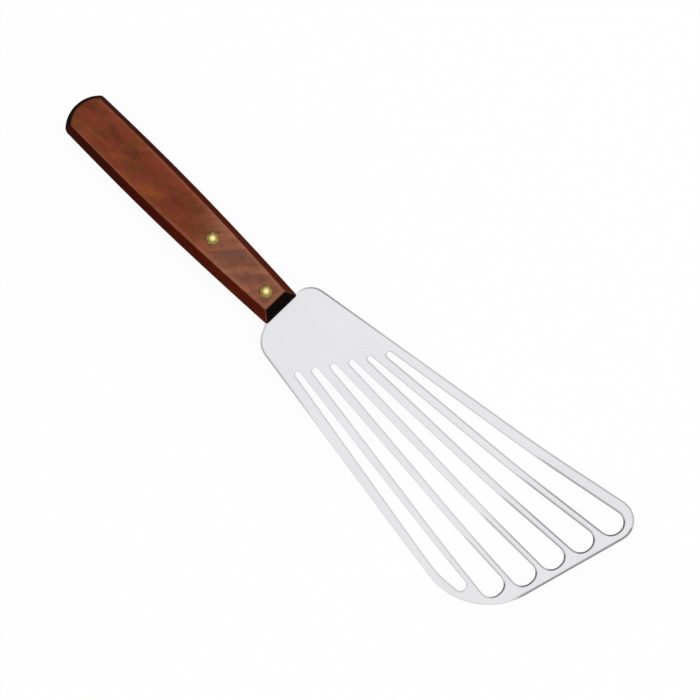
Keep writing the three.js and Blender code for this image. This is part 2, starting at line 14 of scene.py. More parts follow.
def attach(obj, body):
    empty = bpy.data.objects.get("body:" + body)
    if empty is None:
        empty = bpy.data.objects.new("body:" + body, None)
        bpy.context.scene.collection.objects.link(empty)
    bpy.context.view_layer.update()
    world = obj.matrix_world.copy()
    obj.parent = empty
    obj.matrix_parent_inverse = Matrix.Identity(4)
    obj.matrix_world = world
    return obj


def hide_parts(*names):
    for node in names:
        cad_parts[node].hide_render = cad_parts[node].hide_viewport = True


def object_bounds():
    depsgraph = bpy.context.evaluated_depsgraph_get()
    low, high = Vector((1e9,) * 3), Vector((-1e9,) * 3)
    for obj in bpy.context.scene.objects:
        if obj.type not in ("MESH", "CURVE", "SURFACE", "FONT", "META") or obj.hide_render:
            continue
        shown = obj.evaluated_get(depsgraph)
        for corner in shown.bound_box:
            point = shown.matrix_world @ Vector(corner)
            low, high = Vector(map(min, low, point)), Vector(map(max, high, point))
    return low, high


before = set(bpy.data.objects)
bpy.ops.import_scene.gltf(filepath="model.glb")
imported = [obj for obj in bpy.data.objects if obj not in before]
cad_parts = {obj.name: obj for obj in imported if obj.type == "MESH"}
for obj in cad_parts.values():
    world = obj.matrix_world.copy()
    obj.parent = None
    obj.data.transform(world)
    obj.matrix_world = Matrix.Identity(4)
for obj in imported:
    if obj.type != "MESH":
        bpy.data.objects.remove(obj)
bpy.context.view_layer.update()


# Blade: one piece of springy stainless sheet, cut with a fan of six tapering slots, deburred round every
# edge and brushed along its length. It is set down a little at the neck and turned up at the tip, and its
# tang runs back into the handle, where two rivets go through it.
MM = 0.001

# Sheet seen from the side
FRONT_X = 61.5
MID_Z = 6.5
SHEET_THICKNESS = 1.0
NECK_BEND_X = 63.0
NECK_BEND_RADIUS = 60.0
SET_ANGLE = 3.7
TIP_BEND_X = 162.0
TIP_BEND_RADIUS = 120.0
TIP_ANGLE = 9.9

# Sheet seen from above, with half breadths at the handle's front end
TIP_X = 218.3
TIP_SLANT = 15.4
LEFT_HALF_BREADTH = 16.6
LEFT_FLARE = 9.68
RIGHT_HALF_BREADTH = 17.1
RIGHT_FLARE = 8.06
LEFT_TIP_RADIUS = 9.3
RIGHT_TIP_RADIUS = 30.0
SHOULDER_X = 60.6
RIGHT_SHOULDER_SLANT = 26.0
SHOULDER_RADIUS = 10.0
NECK_FILLET = 0.8
TANG_END_X = 12.0
TANG_INSET = 0.25
TANG_END_RADIUS = 3.0
TANG_POINTS = 24
RIVET_XS = (52.5, 21.0)
RIVET_HOLE_RADIUS = 2.15
RIVET_HOLE_POINTS = 48

# Handle's taper in front of its widest place, which the tang follows
HANDLE_WIDEST_X = -19.0
HANDLE_WIDEST = 22.3
HANDLE_FRONT_WIDTH = 17.25
HANDLE_TAPER_X = 13.0

# Fan of slots, where a pair holds a size at the root line and at the tip line
SLOT_COUNT = 6
ROOT_X = 92.85
ROOT_SLANT = 32.3
LEFT_BAR = (4.1, 5.2)
RIGHT_BAR = (5.1, 2.75)
FIRST_BAR = (4.0, 3.0)
LAST_BAR = (4.0, 2.15)
FIRST_SLOT = (3.15, 11.8)
LAST_SLOT = (2.6, 7.9)
TIP_PITCH_DROP = 0.46
SLOT_ROOT_RADIUS = 1.25
SLOT_END_RIM = 3.46
SLOT_END_ROUND_SHARE = 0.42
SLOT_END_SLANT = 5.0
LAST_SLOT_END_RIM = 1.9
LAST_SLOT_END_RADIUS = 2.35
LAST_SLOT_TURN_LENGTH = 12.0
LAST_SLOT_TURN = 13.7
LAST_SLOT_TURN_RADIUS = 45.0
TIP_EDGE_DEPTH = 36.0
TIP_EDGE_SPACING = 0.175
HALVINGS = 40

# Fineness of the sheet's mesh
EDGE_SPACING = 1.4
FACE_SPACING = 3.0
FACE_ROOM = 1.0
ARC_POINTS = 15
ROUND_SHARE = 0.98
TINY = 1e-9
SAME_POINT = 1e-6
MERGE_DISTANCE = 1e-7
SLIVER_AREA = 1e-4
WHOLE_HULL = 0


def taper_half_width(x):
    """Half width of the handle in front of its widest place: a parabola's arc, level there, that bends at
    the start of the taper towards the front end."""
    square = HANDLE_WIDEST_X - 2 * HANDLE_TAPER_X + FRONT_X
    slope = 2 * (HANDLE_TAPER_X - HANDLE_WIDEST_X)
    rest = HANDLE_WIDEST_X - x
    share = -2 * rest / (slope + np.sqrt(slope ** 2 - 4 * square * rest))
    return (HANDLE_WIDEST - (HANDLE_WIDEST - HANDLE_FRONT_WIDTH) * share ** 2) / 2


def heading(degrees):
    """Unit step along an angle from +X."""
    return np.exp(1j * np.radians(degrees))


def unit(step):
    """A step divided by its own length."""
    return step / np.abs(step)


def circle(points):
    """Unit circle of even steps, against the sun."""
    return np.exp(2j * np.pi * np.arange(points) / points)


def meeting(point, way, other_point, other_way):
    """Where two straight lines cross."""
    along = ((other_point - point) * np.conj(other_way)).imag / (way * np.conj(other_way)).imag
    return point + way * along


def point_at_x(point, way, x):
    """The point of a straight line at a given x."""
    return point + way * (x - point.real) / way.real


def rounded(corners, radii):
    """Closed outline from corners: each is replaced by an arc tangent to its two edges, whose reach along
    an edge is radius over the tangent of half the corner, shortened where two reaches would overlap."""
    corners = np.array(corners)
    edge = np.roll(corners, -1) - corners
    before = unit(np.roll(corners, 1) - corners)
    after = unit(edge)
    half = np.abs(np.angle(after / before)) / 2
    reach = np.array(radii) / np.tan(half)
    fit = np.minimum(1, ROUND_SHARE * np.abs(edge) / np.maximum(reach + np.roll(reach, -1), TINY))
    reach = reach * np.minimum(fit, np.roll(fit, 1))
    inward = (before + after) / np.maximum(np.abs(before + after), TINY)
    centre = corners + inward * reach / np.cos(half)
    arm = corners + before * reach - centre
    far_arm = corners + after * reach - centre
    sweep = np.angle(np.where(reach > 0, far_arm, 1) / np.where(reach > 0, arm, 1))
    share = np.linspace(0, 1, ARC_POINTS)
    points = (centre[:, None] + arm[:, None] * np.exp(1j * sweep[:, None] * share)).ravel()
    return points[np.abs(points - np.roll(points, 1)) > SAME_POINT]


def spaced(loop, spacing):
    """The same closed outline with every edge longer than the spacing cut into equal steps."""
    edge = np.roll(loop, -1) - loop
    steps = np.ceil(np.abs(edge) / spacing).astype(int)
    start = np.repeat(np.arange(len(loop)), steps)
    step = np.arange(steps.sum()) - np.repeat(np.cumsum(steps) - steps, steps)
    return loop[start] + edge[start] * step / steps[start]


def turned_way(loop, sunwise):
    """The outline running sunwise or against the sun, by the sign of its area."""
    area = (np.conj(loop) * np.roll(loop, -1)).imag.sum()
    return loop[::-1] if (area < 0) != sunwise else loop


def blade_sides():
    """The flared left and right sides and the slanted tip as straight lines."""
    left = (FRONT_X + 1j * LEFT_HALF_BREADTH, heading(LEFT_FLARE))
    right = (FRONT_X - 1j * RIGHT_HALF_BREADTH, heading(-RIGHT_FLARE))
    tip = (TIP_X + 0j, heading(90 - TIP_SLANT))
    return left, right, tip


def blade_outline():
    """Outline of the whole sheet: a tang inset from the handle's taper, a square left shoulder and a slanted
    right one, flared sides, and a slanted tip with a small and a large round corner."""
    tang_xs = np.linspace(TANG_END_X + TANG_END_RADIUS, SHOULDER_X - 2 * NECK_FILLET, TANG_POINTS)
    tang = tang_xs + 1j * (taper_half_width(tang_xs) - TANG_INSET)
    tang_corner = TANG_END_X + 1j * (taper_half_width(TANG_END_X) - TANG_INSET)
    neck = SHOULDER_X + 1j * (taper_half_width(SHOULDER_X) - TANG_INSET)
    left, right, tip = blade_sides()
    right_shoulder = meeting(*right, np.conj(neck), heading(RIGHT_SHOULDER_SLANT - 90))
    left_shoulder = meeting(*left, neck, heading(90))
    tip_corners = [meeting(*right, *tip), meeting(*left, *tip)]
    shaped = [np.conj(neck), right_shoulder, *tip_corners, left_shoulder, neck]
    corners = [np.conj(tang_corner), *np.conj(tang), *shaped, *tang[::-1], tang_corner]
    tip_radii = [RIGHT_TIP_RADIUS, LEFT_TIP_RADIUS]
    shaped_radii = [NECK_FILLET, SHOULDER_RADIUS, *tip_radii, SHOULDER_RADIUS, NECK_FILLET]
    plain_radii = [0.0] * len(tang)
    return rounded(corners, [TANG_END_RADIUS, *plain_radii, *shaped_radii, *plain_radii, TANG_END_RADIUS])


def bars_across(line, at_tip):
    """Where the bars cross the root line or the tip line: the first slot's outer wall, the bars' middles
    and widths, and the last slot's outer wall. A width square to a side is divided by the sine of its angle
    to the line, and the middles are spread evenly, with a small bulge at the tip."""
    left, right, _ = blade_sides()
    from_left = meeting(*left, *line)
    from_right = meeting(*right, *line)
    across = unit(from_right - from_left)
    left_sine = abs((left[1] * np.conj(across)).imag)
    right_sine = abs((right[1] * np.conj(across)).imag)
    start = LEFT_BAR[at_tip] / left_sine
    stop = abs(from_right - from_left) - RIGHT_BAR[at_tip] / right_sine
    first = start + FIRST_SLOT[at_tip] + FIRST_BAR[at_tip] / 2 / left_sine
    last = stop - LAST_SLOT[at_tip] - LAST_BAR[at_tip] / 2 / right_sine
    bar = np.arange(SLOT_COUNT - 1)
    share = bar / bar[-1]
    bulge = at_tip * TIP_PITCH_DROP * bar * (bar[-1] - bar) / 2
    middles = from_left + across * (first + (last - first) * share + bulge)
    widths = FIRST_BAR[at_tip] + (LAST_BAR[at_tip] - FIRST_BAR[at_tip]) * share
    return from_left + across * start, middles, widths, from_left + across * stop


def slot_walls(root_line, tip_line):
    """The slots' left and right walls as straight lines, one pair for each slot. A bar keeps half its width
    on each side of its middle, square to its length, and a slot is what lies between two bars."""
    root_start, root_middles, root_widths, root_stop = bars_across(root_line, 0)
    tip_start, tip_middles, tip_widths, tip_stop = bars_across(tip_line, 1)
    aside = 1j * unit(tip_middles - root_middles)
    left_root = np.append(root_start, root_middles - aside * root_widths / 2)
    left_tip = np.append(tip_start, tip_middles - aside * tip_widths / 2)
    right_root = np.append(root_middles + aside * root_widths / 2, root_stop)
    right_tip = np.append(tip_middles + aside * tip_widths / 2, tip_stop)
    left_ways = unit(left_tip - left_root)
    right_ways = unit(right_tip - right_root)
    return zip(zip(left_root, left_ways), zip(right_root, right_ways))


def slot_outline(left, right, is_last, root_line, tip_line, tip_edge):
    """One slot between its walls: a round root, and a blunt round end, placed by halving so that it keeps a
    rim to the blade's edge. The last slot's right wall turns in before its end."""
    root = (meeting(*left, *root_line) + meeting(*right, *root_line)) / 2
    tip_left = meeting(*left, *tip_line)
    tip_right = meeting(*right, *tip_line)
    tip = (tip_left + tip_right) / 2
    middle = (root, unit(tip - root))
    radius = LAST_SLOT_END_RADIUS if is_last else SLOT_END_ROUND_SHARE * abs(tip_left - tip_right)
    rim = LAST_SLOT_END_RIM if is_last else SLOT_END_RIM
    near, far = root.real, tip.real
    for _ in range(HALVINGS):
        end_x = (near + far) / 2
        room = np.abs(tip_edge - point_at_x(*middle, end_x - radius)).min()
        near, far = (end_x, far) if room > radius + rim else (near, end_x)
    square = 1j * middle[1]
    corners = [meeting(*left, root, square), meeting(*right, root, square)]
    radii = [SLOT_ROOT_RADIUS, SLOT_ROOT_RADIUS]
    end_edge = (point_at_x(*middle, near), heading(90 - SLOT_END_SLANT))
    end_right = meeting(*right, *end_edge)
    if is_last:
        turn = point_at_x(*right, near - LAST_SLOT_TURN_LENGTH)
        corners.append(turn)
        radii.append(LAST_SLOT_TURN_RADIUS)
        end_right = meeting(turn, right[1] * heading(LAST_SLOT_TURN), *end_edge)
    corners += [end_right, meeting(*left, *end_edge)]
    radii += [radius, radius]
    return rounded(corners, radii)


def slot_outlines(tip_edge):
    """The fan of slots, from the left: their bars run from a slanted root line to the slanted tip."""
    root_line = (ROOT_X + 0j, heading(90 - ROOT_SLANT))
    tip_line = blade_sides()[2]
    walls = enumerate(slot_walls(root_line, tip_line), 1)
    return [slot_outline(*pair, slot == SLOT_COUNT, root_line, tip_line, tip_edge) for slot, pair in walls]


def sheet_place(plan, lift):
    """Bends the flat sheet. Along a bend the sine of the slope grows evenly with x, so the slope follows
    from four knots, and the height is the sum of the two arcs' rises and the two straights' rises. The lift
    is taken square to the sheet. Gives the points and the unit steps along and out of the sheet."""
    set_sine, tip_sine = np.sin(np.radians([SET_ANGLE, TIP_ANGLE]))
    neck_end = NECK_BEND_X + NECK_BEND_RADIUS * set_sine
    tip_end = TIP_BEND_X + TIP_BEND_RADIUS * (set_sine + tip_sine)
    knots = [NECK_BEND_X, neck_end, TIP_BEND_X, tip_end]
    slope = np.arcsin(np.interp(plan.real, knots, [0, -set_sine, -set_sine, tip_sine]))
    first_arc = np.arcsin(np.interp(plan.real, knots[:2], [0, -set_sine]))
    second_arc = np.arcsin(np.interp(plan.real, knots[2:], [-set_sine, tip_sine]))
    rise = NECK_BEND_RADIUS * (np.cos(first_arc) - 1)
    rise -= np.tan(np.radians(SET_ANGLE)) * (np.clip(plan.real, neck_end, TIP_BEND_X) - neck_end)
    rise -= TIP_BEND_RADIUS * (np.cos(second_arc) - np.cos(np.radians(SET_ANGLE)))
    rise += np.tan(np.radians(TIP_ANGLE)) * (np.maximum(plan.real, tip_end) - tip_end)
    along = np.stack([np.cos(slope), 0 * slope, np.sin(slope)], -1)
    out = np.stack([-np.sin(slope), 0 * slope, np.cos(slope)], -1)
    middle = np.stack([plan.real, plan.imag, MID_Z + rise], -1)
    return middle + out * lift[..., None], along, out


def inside(points, loops):
    """Even-odd rule: a point is inside where a ray along +X crosses the loops an odd number of times."""
    points = points[:, None]
    crossings = 0
    for loop in loops:
        stop = np.roll(loop, -1)
        spans = (loop.imag > points.imag) != (stop.imag > points.imag)
        rise = np.where(stop.imag == loop.imag, 1, stop.imag - loop.imag)
        x = loop.real + (points.imag - loop.imag) * (stop.real - loop.real) / rise
        crossings += (spans & (x > points.real)).sum(1)
    return crossings % 2 == 1


def filled(loops, inner):
    """Triangles of the flat region between closed loops, through the inner points: a Delaunay mesh that
    keeps the loops' edges, less the triangles whose middles are outside and the slivers along straight
    edges. Numbers count the loops' points in turn, then the inner ones."""
    points = np.concatenate([*loops, inner])
    starts = np.cumsum([0] + [len(loop) for loop in loops])
    numbers = [np.arange(start, stop) for start, stop in zip(starts, starts[1:])]
    edges = np.concatenate([np.stack([loop, np.roll(loop, -1)], 1) for loop in numbers]).tolist()
    flat = [Vector(pair) for pair in np.stack([points.real, points.imag], 1).tolist()]
    triangles = np.array(delaunay_2d_cdt(flat, edges, [], WHOLE_HULL, MERGE_DISTANCE)[2])
    corners = points[triangles]
    turn = (np.conj(corners[:, 1] - corners[:, 0]) * (corners[:, 2] - corners[:, 0])).imag
    kept = inside(corners.mean(1), loops) & (np.abs(turn) > SLIVER_AREA)
    return np.where(turn[:, None] > 0, triangles, triangles[:, ::-1])[kept]


def strips(at):
    """Quads between the rows of a grid of point numbers, each row a closed ring. They face outwards where
    the rings run against the sun and the rows go up."""
    beside = np.roll(at, -1, 1)
    return np.stack([at[:-1], beside[:-1], beside[1:], at[1:]], -1).reshape(-1, 4)


def new_object(name, data):
    """An object put into the scene."""
    made = bpy.data.objects.new(name, data)
    bpy.context.scene.collection.objects.link(made)
    return made


def new_piece(name, points, faces, material):
    """Smooth object whose mesh has these points, in millimetres, and these groups of faces."""
    mesh = bpy.data.meshes.new(name)
    mesh.from_pydata((points * MM).tolist(), [], [face for group in faces for face in group.tolist()])
    mesh.shade_smooth()
    mesh.materials.append(material)
    piece = new_object(name, mesh)
    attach(piece, "root")
    return piece


def add_mark(piece, name, values):
    """Keeps one number for each point of a piece, under a name that its material can read."""
    mark = piece.data.attributes.new(name, "FLOAT", "POINT")
    mark.data.foreach_set("value", values.astype(np.float32))


def feed(tree, socket, value):
    """Links a socket to the one that feeds it, or sets its own value."""
    if isinstance(value, bpy.types.NodeSocket):
        tree.links.new(value, socket)
    else:
        socket.default_value = value


def add_node(tree, kind, settings=None, **inputs):
    """Adds a node and feeds its inputs, whose names are written in lower case with underscores."""
    node = tree.nodes.new(kind)
    for setting, value in (settings or {}).items():
        setattr(node, setting, value)
    for name, value in inputs.items():
        socket = next(s for s in node.inputs if s.enabled and s.name.lower().replace(" ", "_") == name)
        feed(tree, socket, value)
    return node


def new_material(name):
    """Empty node material, and its object coordinates in metres."""
    material = bpy.data.materials.new(name)
    material.use_nodes = True
    tree = material.node_tree
    tree.nodes.clear()
    place = add_node(tree, "ShaderNodeTexCoord").outputs["Object"]
    return material, tree, place


def finish_surface(tree, **inputs):
    """Joins one principled shader with these inputs to the material's output."""
    shader = add_node(tree, "ShaderNodeBsdfPrincipled", **inputs)
    add_node(tree, "ShaderNodeOutputMaterial", surface=shader.outputs["BSDF"])


def read_mark(tree, name):
    """The number that a piece keeps at its points under a name."""
    return add_node(tree, "ShaderNodeAttribute", {"attribute_name": name}).outputs["Fac"]


def stretched(tree, place, repeats, turn, shift=0.0):
    """Coordinates turned about Z by radians, shifted, then scaled to a pattern's repeats per millimetre."""
    moves = {"location": (shift, shift, 0), "rotation": (0, 0, turn)}
    turned = add_node(tree, "ShaderNodeMapping", vector=place, **moves).outputs["Vector"]
    per_metre = [count / MM for count in repeats]
    return add_node(tree, "ShaderNodeMapping", vector=turned, scale=per_metre).outputs["Vector"]


def noise(tree, place, repeats, turn=0.0, shift=0.0, detail=2.0, roughness=0.5, distortion=0.0):
    """Noise over coordinates stretched to these repeats, turn and shift."""
    vector = stretched(tree, place, repeats, turn, shift)
    fineness = {"scale": 1.0, "detail": detail, "roughness": roughness, "distortion": distortion}
    return add_node(tree, "ShaderNodeTexNoise", vector=vector, **fineness).outputs["Fac"]


def ranged(tree, value, low, high, to_low=0.0, to_high=1.0):
    """Value carried smoothly from one range to another and held at its ends."""
    settings = {"interpolation_type": "SMOOTHSTEP"}
    inputs = {"value": value, "from_min": low, "from_max": high, "to_min": to_low, "to_max": to_high}
    return add_node(tree, "ShaderNodeMapRange", settings, **inputs).outputs["Result"]


def sums(tree, how, first, second=0.0):
    """One number from one or two by plain arithmetic."""
    node = tree.nodes.new("ShaderNodeMath")
    node.operation = how
    feed(tree, node.inputs[0], first)
    feed(tree, node.inputs[1], second)
    return node.outputs["Value"]


def raised(tree, value, mask, amount):
    """Value plus a mask times an amount."""
    return sums(tree, "ADD", value, sums(tree, "MULTIPLY", mask, amount))


def mixed(tree, share, first, second, way="MIX"):
    """One colour mixed into another by a share."""
    node = add_node(tree, "ShaderNodeMix", {"data_type": "RGBA", "blend_type": way}, factor=share)
    sockets = [s for s in node.inputs if s.enabled and s.name in ("A", "B")]
    for socket, colour in zip(sockets, (first, second)):
        feed(tree, socket, (*colour, 1.0) if isinstance(colour, tuple) else colour)
    return next(s for s in node.outputs if s.enabled)


def bumped(tree, height, strength, depth):
    """Normals of a surface that a height from 0 to 1 raises by up to the depth, in metres."""
    inputs = {"height": height, "strength": strength, "distance": depth}
    return add_node(tree, "ShaderNodeBump", **inputs).outputs["Normal"]


# Hairline scratches: repeats per millimetre, the turn and shift of each set, and the crests that count
SCRATCH_REPEATS = (0.12, 9.0, 1.0)
SCRATCH_SETS = ((0.35, 0.3), (-0.6, 1.1))
SCRATCH_CRESTS = (0.66, 0.72)


def make_scratch_group():
    """Shared effect: fine hairline scratches from handling. Two crossing sets of long thin noise, of which
    only the crests count. Puts out a mask from 0 to the amount."""
    group = bpy.data.node_groups.new("hairline_scratches", "ShaderNodeTree")
    group.interface.new_socket("Place", in_out="INPUT", socket_type="NodeSocketVector")
    group.interface.new_socket("Amount", in_out="INPUT", socket_type="NodeSocketFloat")
    group.interface.new_socket("Mask", in_out="OUTPUT", socket_type="NodeSocketFloat")
    source = group.nodes.new("NodeGroupInput").outputs
    crests = []
    for turn, shift in SCRATCH_SETS:
        lines = noise(group, source["Place"], SCRATCH_REPEATS, turn, shift)
        crests.append(ranged(group, lines, *SCRATCH_CRESTS))
    either = sums(group, "MAXIMUM", *crests)
    result = group.nodes.new("NodeGroupOutput")
    group.links.new(sums(group, "MULTIPLY", either, source["Amount"]), result.inputs["Mask"])
    return group


scratch_group = make_scratch_group()


def scratches(tree, place, amount):
    """Hairline scratches placed in a material."""
    node = tree.nodes.new("ShaderNodeGroup")
    node.node_tree = scratch_group
    feed(tree, node.inputs["Place"], place)
    feed(tree, node.inputs["Amount"], amount)
    return node.outputs["Mask"]


# Brushed steel: colours, with a dark painted edge shade, the range that noise mostly fills, repeats per
# millimetre, and the finish
STEEL = (0.635, 0.635, 0.644)
STEEL_DULL = (0.617, 0.618, 0.627)
EDGE_SHADE_STEEL = (0.15, 0.15, 0.155)
NOISE_RANGE = (0.3, 0.7)
BRUSH_LINES = (0.035, 5.5, 5.5)
DULL_PATCHES = (0.03, 0.06, 0.06)
DULL_RANGE = (0.35, 0.7)
STEEL_SCRATCHES = 0.5
STEEL_ROUGHNESS = (0.27, 0.35)
CUT_ROUGHNESS = 0.14
SCRATCH_ROUGHNESS = 0.06


def make_steel():
    """Brushed stainless: fine lines along the blade in roughness and bump, faint dull patches, hairline
    scratches, and a rougher rim where the sheet was cut and deburred, darkened by painted shade that stands
    in for the edges' dark reflections."""
    material, tree, place = new_material("brushed_stainless")
    lines = noise(tree, place, BRUSH_LINES, detail=3.0, roughness=0.6)
    patches = noise(tree, place, DULL_PATCHES, detail=3.0)
    marks = scratches(tree, place, STEEL_SCRATCHES)
    rim = read_mark(tree, "cut_edge")
    face = mixed(tree, ranged(tree, patches, *DULL_RANGE), STEEL, STEEL_DULL)
    # Painted shade: the rim's mark darkens the cut edges, standing in for their dark reflections.
    colour = mixed(tree, rim, face, EDGE_SHADE_STEEL)
    rough = ranged(tree, lines, *NOISE_RANGE, *STEEL_ROUGHNESS)
    rough = raised(tree, rough, rim, CUT_ROUGHNESS)
    rough = raised(tree, rough, marks, SCRATCH_ROUGHNESS)
    bump = bumped(tree, sums(tree, "SUBTRACT", lines, marks), strength=0.05, depth=0.00002)
    finish_surface(tree, base_color=colour, metallic=1.0, roughness=rough, normal=bump)
    return material


# Rough cut and painted edge shade on the edges, from 0 to 1, with the places and facings over which they come
# in
TIP_CUT_SHADE = 0.72
TIP_CUT_SHADE_X = (150.0, 205.0)
TIP_FACING = (0.89, 0.96)
SLOT_END_CUT_SHADE = 0.97
SLOT_END_CUT_SHADE_Y = (-27.0, -18.0)
SLOT_END_FACING = (0.35, 0.9)
LAST_SLOT_CUT_SHADE = 0.12
SLOT_SIDE_CUT_SHADE = 0.4
SLOT_SIDE_CUT_SHADE_Y = (-40.0, 12.0)
SLOT_LEFT_CUT_SHADE_X = (178.0, 198.0)
SLOT_RIGHT_CUT_SHADE_X = (176.0, 186.0)
LEFT_CUT_SHADE = 0.33
LEFT_CUT_SHADE_KEPT = 0.5
LEFT_TIP_CUT_SHADE = 0.12
RIGHT_CUT_SHADE = 0.09
SIDE_ROUGH_Y = (2.0, 20.0)
NECK_CUT_SHADE = 0.48
NECK_CUT_SHADE_X = (115.0, 64.0)

# Deburred edges: a finer round where little of the cut is left, and margins over which the cut's roughness
# and painted shade fade
DEBURR_RADIUS = 0.42
FINE_RADIUS = 0.12
FULL_DEBURR_ROUGH = 0.2
DEBURR_STEPS = 6
CUT_SHADE_MARGIN = 0.2
CUT_SHADE_FADE_MARGIN = 0.5


def smooth_step(low, high, value):
    """Ramp from 0 to 1 between two values, 3t squared less 2t cubed."""
    share = np.clip((value - low) / (high - low), 0, 1)
    return share * share * (3 - 2 * share)


def cut_and_shade_strength(edge, outward, in_slot):
    """How much of the rough cut, and of the painted shade that stands in for the edges' dark reflections, is
    on
    an edge, from 0 to 1: strengths times ramps of its place and of the way it faces, added up. It is strong
    at the tip and on the slots' blunt ends except the last slot's, middling on the slots' walls where the tip
    turns up, light along edges that face left, slight along those that face right, and more on both outer
    sides towards the neck."""
    to_tip = smooth_step(*TIP_CUT_SHADE_X, edge.real)
    to_left = smooth_step(*SIDE_ROUGH_Y, edge.imag)
    tip = TIP_CUT_SHADE * smooth_step(*TIP_FACING, outward.real)
    from_last = smooth_step(*SLOT_END_CUT_SHADE_Y, edge.imag)
    slot_cut_shade = LAST_SLOT_CUT_SHADE + (SLOT_END_CUT_SHADE - LAST_SLOT_CUT_SHADE) * from_last
    slot_end = slot_cut_shade * smooth_step(*SLOT_END_FACING, -outward.real)
    slot_side = SLOT_SIDE_CUT_SHADE * in_slot * smooth_step(*SLOT_SIDE_CUT_SHADE_Y, edge.imag)
    neck_cut_shade = NECK_CUT_SHADE * smooth_step(*NECK_CUT_SHADE_X, edge.real) * (1 - in_slot)
    left_cut_shade = LEFT_CUT_SHADE * (LEFT_CUT_SHADE_KEPT + (1 - LEFT_CUT_SHADE_KEPT) * to_left)
    left_cut_shade += LEFT_TIP_CUT_SHADE * to_tip * (1 - in_slot)
    left_cut_shade += slot_side * smooth_step(*SLOT_LEFT_CUT_SHADE_X, edge.real)
    right_cut_shade = RIGHT_CUT_SHADE * to_left + slot_side * smooth_step(*SLOT_RIGHT_CUT_SHADE_X, edge.real)
    left = (left_cut_shade + neck_cut_shade) * np.maximum(outward.imag, 0)
    right = (right_cut_shade + neck_cut_shade) * np.maximum(-outward.imag, 0)
    return np.minimum(to_tip * (tip + slot_end) + left + right, 1)


def inward_ways(loop):
    """Unit steps into the sheet at a loop's points: the mean of the two edges' ways, turned left."""
    way = unit(np.roll(loop, -1) - loop)
    return 1j * unit(way + np.roll(way, 1))


def edge_section(roughness):
    """Section of the deburred edge at each point, in rows from the lower face to the upper one: margins, a
    quarter round, a short flat, a quarter round and margins. Gives the inset from the cut, the lift from
    the sheet's middle, the tilt of the surface from level and the share of the cut's roughness and painted
    shade."""
    radius = FINE_RADIUS + (DEBURR_RADIUS - FINE_RADIUS) * smooth_step(0, FULL_DEBURR_ROUGH, roughness)
    tilt = np.append([0, 0], np.linspace(0, np.pi / 2, DEBURR_STEPS))
    margin = np.append([CUT_SHADE_FADE_MARGIN, CUT_SHADE_MARGIN], np.zeros(DEBURR_STEPS))
    inset = margin[:, None] + radius * (1 - np.sin(tilt))[:, None]
    lift = SHEET_THICKNESS / 2 - radius * (1 - np.cos(tilt))[:, None]
    cut_shade_share = np.append([0, 1], np.ones(DEBURR_STEPS))
    halves = ((inset, inset), (-lift, lift), (np.pi - tilt, tilt), (cut_shade_share, cut_shade_share))
    return [np.concatenate([below, above[::-1]]) for below, above in halves]


def face_points(outline, loops):
    """Inner points of the sheet's faces: a square grid over the outline, less the points that lie outside
    the faces' loops or too close to them."""
    rim = np.concatenate(loops)
    across = np.abs(outline.imag).max()
    xs = np.arange(outline.real.min(), outline.real.max(), FACE_SPACING)
    grid_x, grid_y = np.meshgrid(xs, np.arange(-across, across, FACE_SPACING))
    grid = (grid_x + 1j * grid_y).ravel()
    grid = grid[inside(grid, loops)]
    room = np.abs(grid[:, None] - rim).min(1)
    return grid[room > FACE_ROOM]


def make_blade():
    """The sheet: its outline, slots and holes carry the deburred edge, the loops left on top and underneath
    are filled, and everything is bent by sheet_place, with normals that follow the edge's tilt."""
    outline = turned_way(spaced(blade_outline(), EDGE_SPACING), False)
    tip_edge = spaced(outline, TIP_EDGE_SPACING)
    slots = slot_outlines(tip_edge[tip_edge.real > TIP_X - TIP_EDGE_DEPTH])
    holes = [x + RIVET_HOLE_RADIUS * circle(RIVET_HOLE_POINTS) for x in RIVET_XS]
    loops = [outline] + [turned_way(spaced(loop, EDGE_SPACING), True) for loop in slots + holes]
    splits = np.cumsum([len(loop) for loop in loops])[:-1]
    edge = np.concatenate(loops)
    inward = np.concatenate([inward_ways(loop) for loop in loops])
    # Strength of the rough cut and of the painted edge shade, which also sizes the deburred round.
    roughness = cut_and_shade_strength(edge, -inward, np.arange(len(edge)) >= len(outline))
    inset, lift, tilt, cut_shade_share = edge_section(roughness)
    rim_plan = edge + inward * inset
    rim_points, along, out = sheet_place(rim_plan, lift)
    sideways = -inward.real[:, None] * along - inward.imag[:, None] * np.array([0.0, 1.0, 0.0])
    rim_normals = np.sin(tilt)[:, None, None] * sideways + np.cos(tilt)[:, None, None] * out

    face_loops = np.split(rim_plan[-1], splits)
    inner = face_points(outline, face_loops)
    half = np.full(len(inner), SHEET_THICKNESS / 2)
    upper, _, out_upper = sheet_place(inner, half)
    lower, _, out_lower = sheet_place(inner, -half)
    triangles = filled(face_loops, inner)

    at = np.arange(rim_plan.size).reshape(rim_plan.shape)
    upper_at = rim_plan.size + np.arange(len(inner))
    top = np.append(at[-1], upper_at)[triangles]
    bottom = np.append(at[0], upper_at + len(inner))[triangles][:, ::-1]
    quads = [strips(block) for block in np.split(at, splits, 1)]
    points = np.concatenate([rim_points.reshape(-1, 3), upper, lower])
    normals = np.concatenate([rim_normals.reshape(-1, 3), out_upper, -out_lower])
    # Painted shade: the rim carries the cut's roughness and a dark painted edge line; the faces carry none.
    rim_cut_shade = cut_shade_share[:, None] * roughness
    blade = new_piece("slotted_blade", points, [*quads, top, bottom], make_steel())
    add_mark(blade, "cut_edge", np.append(rim_cut_shade, np.zeros(2 * len(inner))))
    blade.data.normals_split_custom_set_from_vertices(normals.tolist())
    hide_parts("blade")


make_blade()


